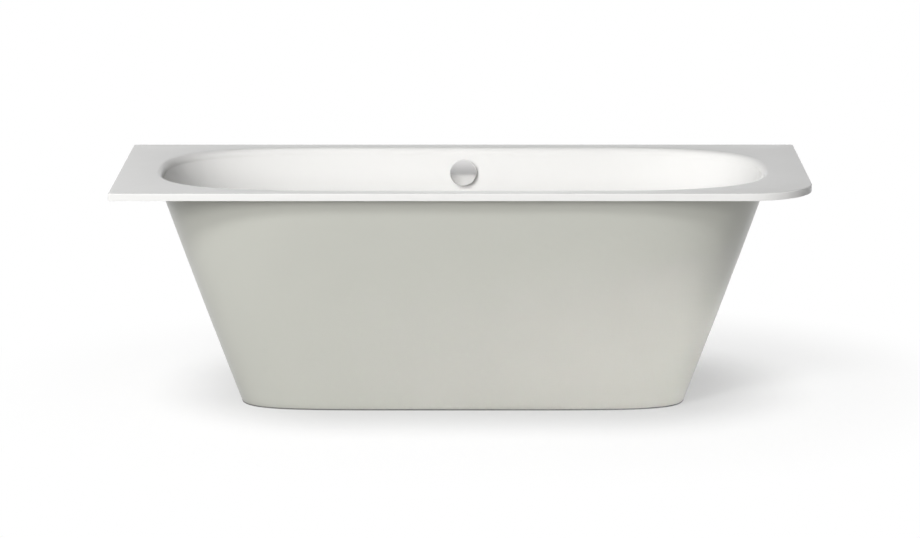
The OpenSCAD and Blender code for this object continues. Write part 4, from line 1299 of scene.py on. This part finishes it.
# What most lamps point at, and the lamps in the order in which they are hung
MIDDLE = (0.0, 0.0, 0.35)
LAMPS = (
    Lamp("key", (-3.7, -9.6, 3.6), MIDDLE, (6.1, 4.2), 690.0, (1.0, 0.995, 0.985)),
    Lamp("high", (-2.9, -6.2, 5.9), MIDDLE, (2.6, 1.9), 289.0),
    Lamp("low", (3.8, -2.2, 0.3), (0.5, -0.2, 0.3), (0.8, 0.4), 17.0),
    Lamp("foot", (4.0, -1.6, 0.2), (0.6, -0.2, 0.12), (0.7, 0.15), 0.55, spread=11.0),
    Lamp("side", (-4.6, -0.6, 2.4), MIDDLE, (2.0, 2.0), 25.0),
    Lamp("back", (0.0, 4.0, 0.3), (0.0, 0.0, 0.3), (4.0, 0.5), 85.0),
    Lamp("return", (0.1, 0.3, 0.78), (0.1, -0.3, 0.4), (0.5, 0.1), 0.9, spread=80.0),
)

# The rays that see the background and the floor's own light
CAMERA_RAY = "Is Camera Ray"
SEEN = (CAMERA_RAY, "Is Glossy Ray", "Is Transmission Ray")


@dataclass
class Studio:
    """Camera, floor and background.

    Attributes:
        lens, sensor: focal length and width of the picture in the camera, in millimetres.
        clip: nearest and farthest distance that the camera shows.
        place: where the camera stands.
        tilt: how far it is tilted up from looking straight down, in degrees.
        pan: how far it is then turned to its left, in degrees.
        world_fill: strength of the background as a light on the object.
        dim: strength of the background that gloss shows low in front.
        rise: heights of a ray's direction between which the background brightens.
        behind: places of a ray's direction, front to back, between which it brightens.
        floor_half: half the length of the floor.
        floor_tone: colour of the floor under the lamps.
        painted_shadow_lift, floor_lift: light that the floor gives off to the camera under the tub and away
            from it; the lower light under the tub is a painted shadow.
        foot_middle, foot_half: middle and half the size of the box that the floor's light is measured from.
        painted_shadow_span: distances from that box over which the painted shadow fades into the floor's full
            light.
        fade: distances from it between which the floor turns into the background.
    """

    lens: float = 157.38
    sensor: float = 36.0
    clip: Pair = (0.1, 100.0)
    place: Place = (0.0402, -10.4582, 2.3039)
    tilt: float = 79.257
    pan: float = 0.2574
    world_fill: float = 0.085
    dim: float = 0.42
    rise: Pair = (0.02, 0.6)
    behind: Pair = (-0.1, 0.4)
    floor_half: float = 14.0
    floor_tone: float = 0.3
    painted_shadow_lift: float = 0.465
    floor_lift: float = 0.78
    foot_middle: Place = (0.05, 0.0, 0.0)
    foot_half: Place = (0.32, 0.05, 0.0)
    painted_shadow_span: Pair = (0.2, 0.6)
    fade: Pair = (0.5, 1.1)

    def camera(self) -> None:
        """Sets up the camera at the photograph's angle."""
        data = bpy.data.cameras.new("camera")
        data.lens, data.sensor_width, data.sensor_fit = self.lens, self.sensor, "HORIZONTAL"
        data.clip_start, data.clip_end = self.clip
        camera = link("camera", data)
        turn = Euler((math.radians(self.tilt), 0, 0)).to_matrix().to_4x4()
        aim = Matrix.Rotation(math.radians(self.pan), 4, "Y")
        camera.matrix_world = Matrix.Translation(self.place) @ turn @ aim
        bpy.context.scene.camera = camera

    def world(self) -> None:
        """Sets up a background that is white to the camera, to gloss and to glass, and a dim light else."""
        world = bpy.data.worlds.new("studio")
        world.use_nodes = True
        bpy.context.scene.world = world
        graph = Graph(world.node_tree)
        way = graph.node("ShaderNodeTexCoord").outputs["Generated"]
        parts = graph.node("ShaderNodeSeparateXYZ", None, {0: way}).outputs
        backdrop = graph.ramp(parts[2], self.rise, (self.dim, 1.0)).over(graph.ramp(parts[1], self.behind))
        backdrop = backdrop.over(graph.seen_by(CAMERA_RAY))
        fill = graph.glow("ShaderNodeBackground", self.world_fill)
        white = graph.glow("ShaderNodeBackground", backdrop)
        both = graph.node("ShaderNodeMixShader", None, {0: graph.seen_by(*SEEN), 1: fill, 2: white})
        graph.node("ShaderNodeOutputWorld", None, {"Surface": both.outputs[0]})

    def floor(self) -> None:
        """Lays a pale floor that keeps the object's shadow, with a painted shadow round the tub where its own
        light is lower, and turns into the background farther out.
        """
        shaper = Shaper()
        bmesh.ops.create_grid(shaper.bm, x_segments=1, y_segments=1, size=self.floor_half)
        floor = shaper.piece("studio_floor")
        made = bpy.data.materials.new("studio_floor")
        made.use_nodes = True
        graph = Graph(made.node_tree)
        seen = graph.seen_by(*SEEN)
        place = graph.node("ShaderNodeTexCoord").outputs["Object"]
        aside = graph.vector("ABSOLUTE", graph.vector("SUBTRACT", place, self.foot_middle))
        beside = graph.vector("SUBTRACT", aside, self.foot_half)
        reach = graph.vector("LENGTH", graph.vector("MAXIMUM", beside), out=1)
        # Painted shadow: the floor gives off less light near the tub's foot, and its full light farther out
        shade = graph.ramp(reach, self.painted_shadow_span, (self.painted_shadow_lift, self.floor_lift))
        pale = graph.node("ShaderNodeBsdfDiffuse", None, {"Color": rgba((self.floor_tone,) * 3)})
        lift = graph.glow("ShaderNodeEmission", seen * shade)
        near = graph.node("ShaderNodeAddShader", None, {0: pale.outputs[0], 1: lift})
        white = graph.glow("ShaderNodeEmission", 1.0)
        far = graph.ramp(reach, self.fade) * seen
        both = graph.node("ShaderNodeMixShader", None, {0: far, 1: near.outputs[0], 2: white})
        graph.node("ShaderNodeOutputMaterial", None, {"Surface": both.outputs[0]})
        floor.data.materials.append(made)

    def build(self) -> None:
        """Sets up the background, the floor and the lamps."""
        self.world()
        self.floor()
        for lamp in LAMPS:
            lamp.hang()
        bpy.context.scene.view_settings.view_transform = "Standard"


def main() -> None:
    """Builds the bathtub round the CAD frame."""
    logging.basicConfig(level=logging.INFO, format="%(message)s")
    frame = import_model()
    paints = Paintbox()
    studio, tub = Studio(), Tub(paints)
    studio.camera()
    Cable(paints).build(tub.overflow_frame())
    for finish, names in BARE_NODES.items():
        for name in names:
            paints.dress(frame["nodes"][name], finish)
            LOG.info("%s: CAD solid in %s", name, finish.name)
    tub.build()
    Panel(paints).build()
    Control(paints).build(tub.overflow_frame())
    Waste(paints).build()
    Feet(paints).build()
    studio.build()


if __name__ == "__main__":
    main()
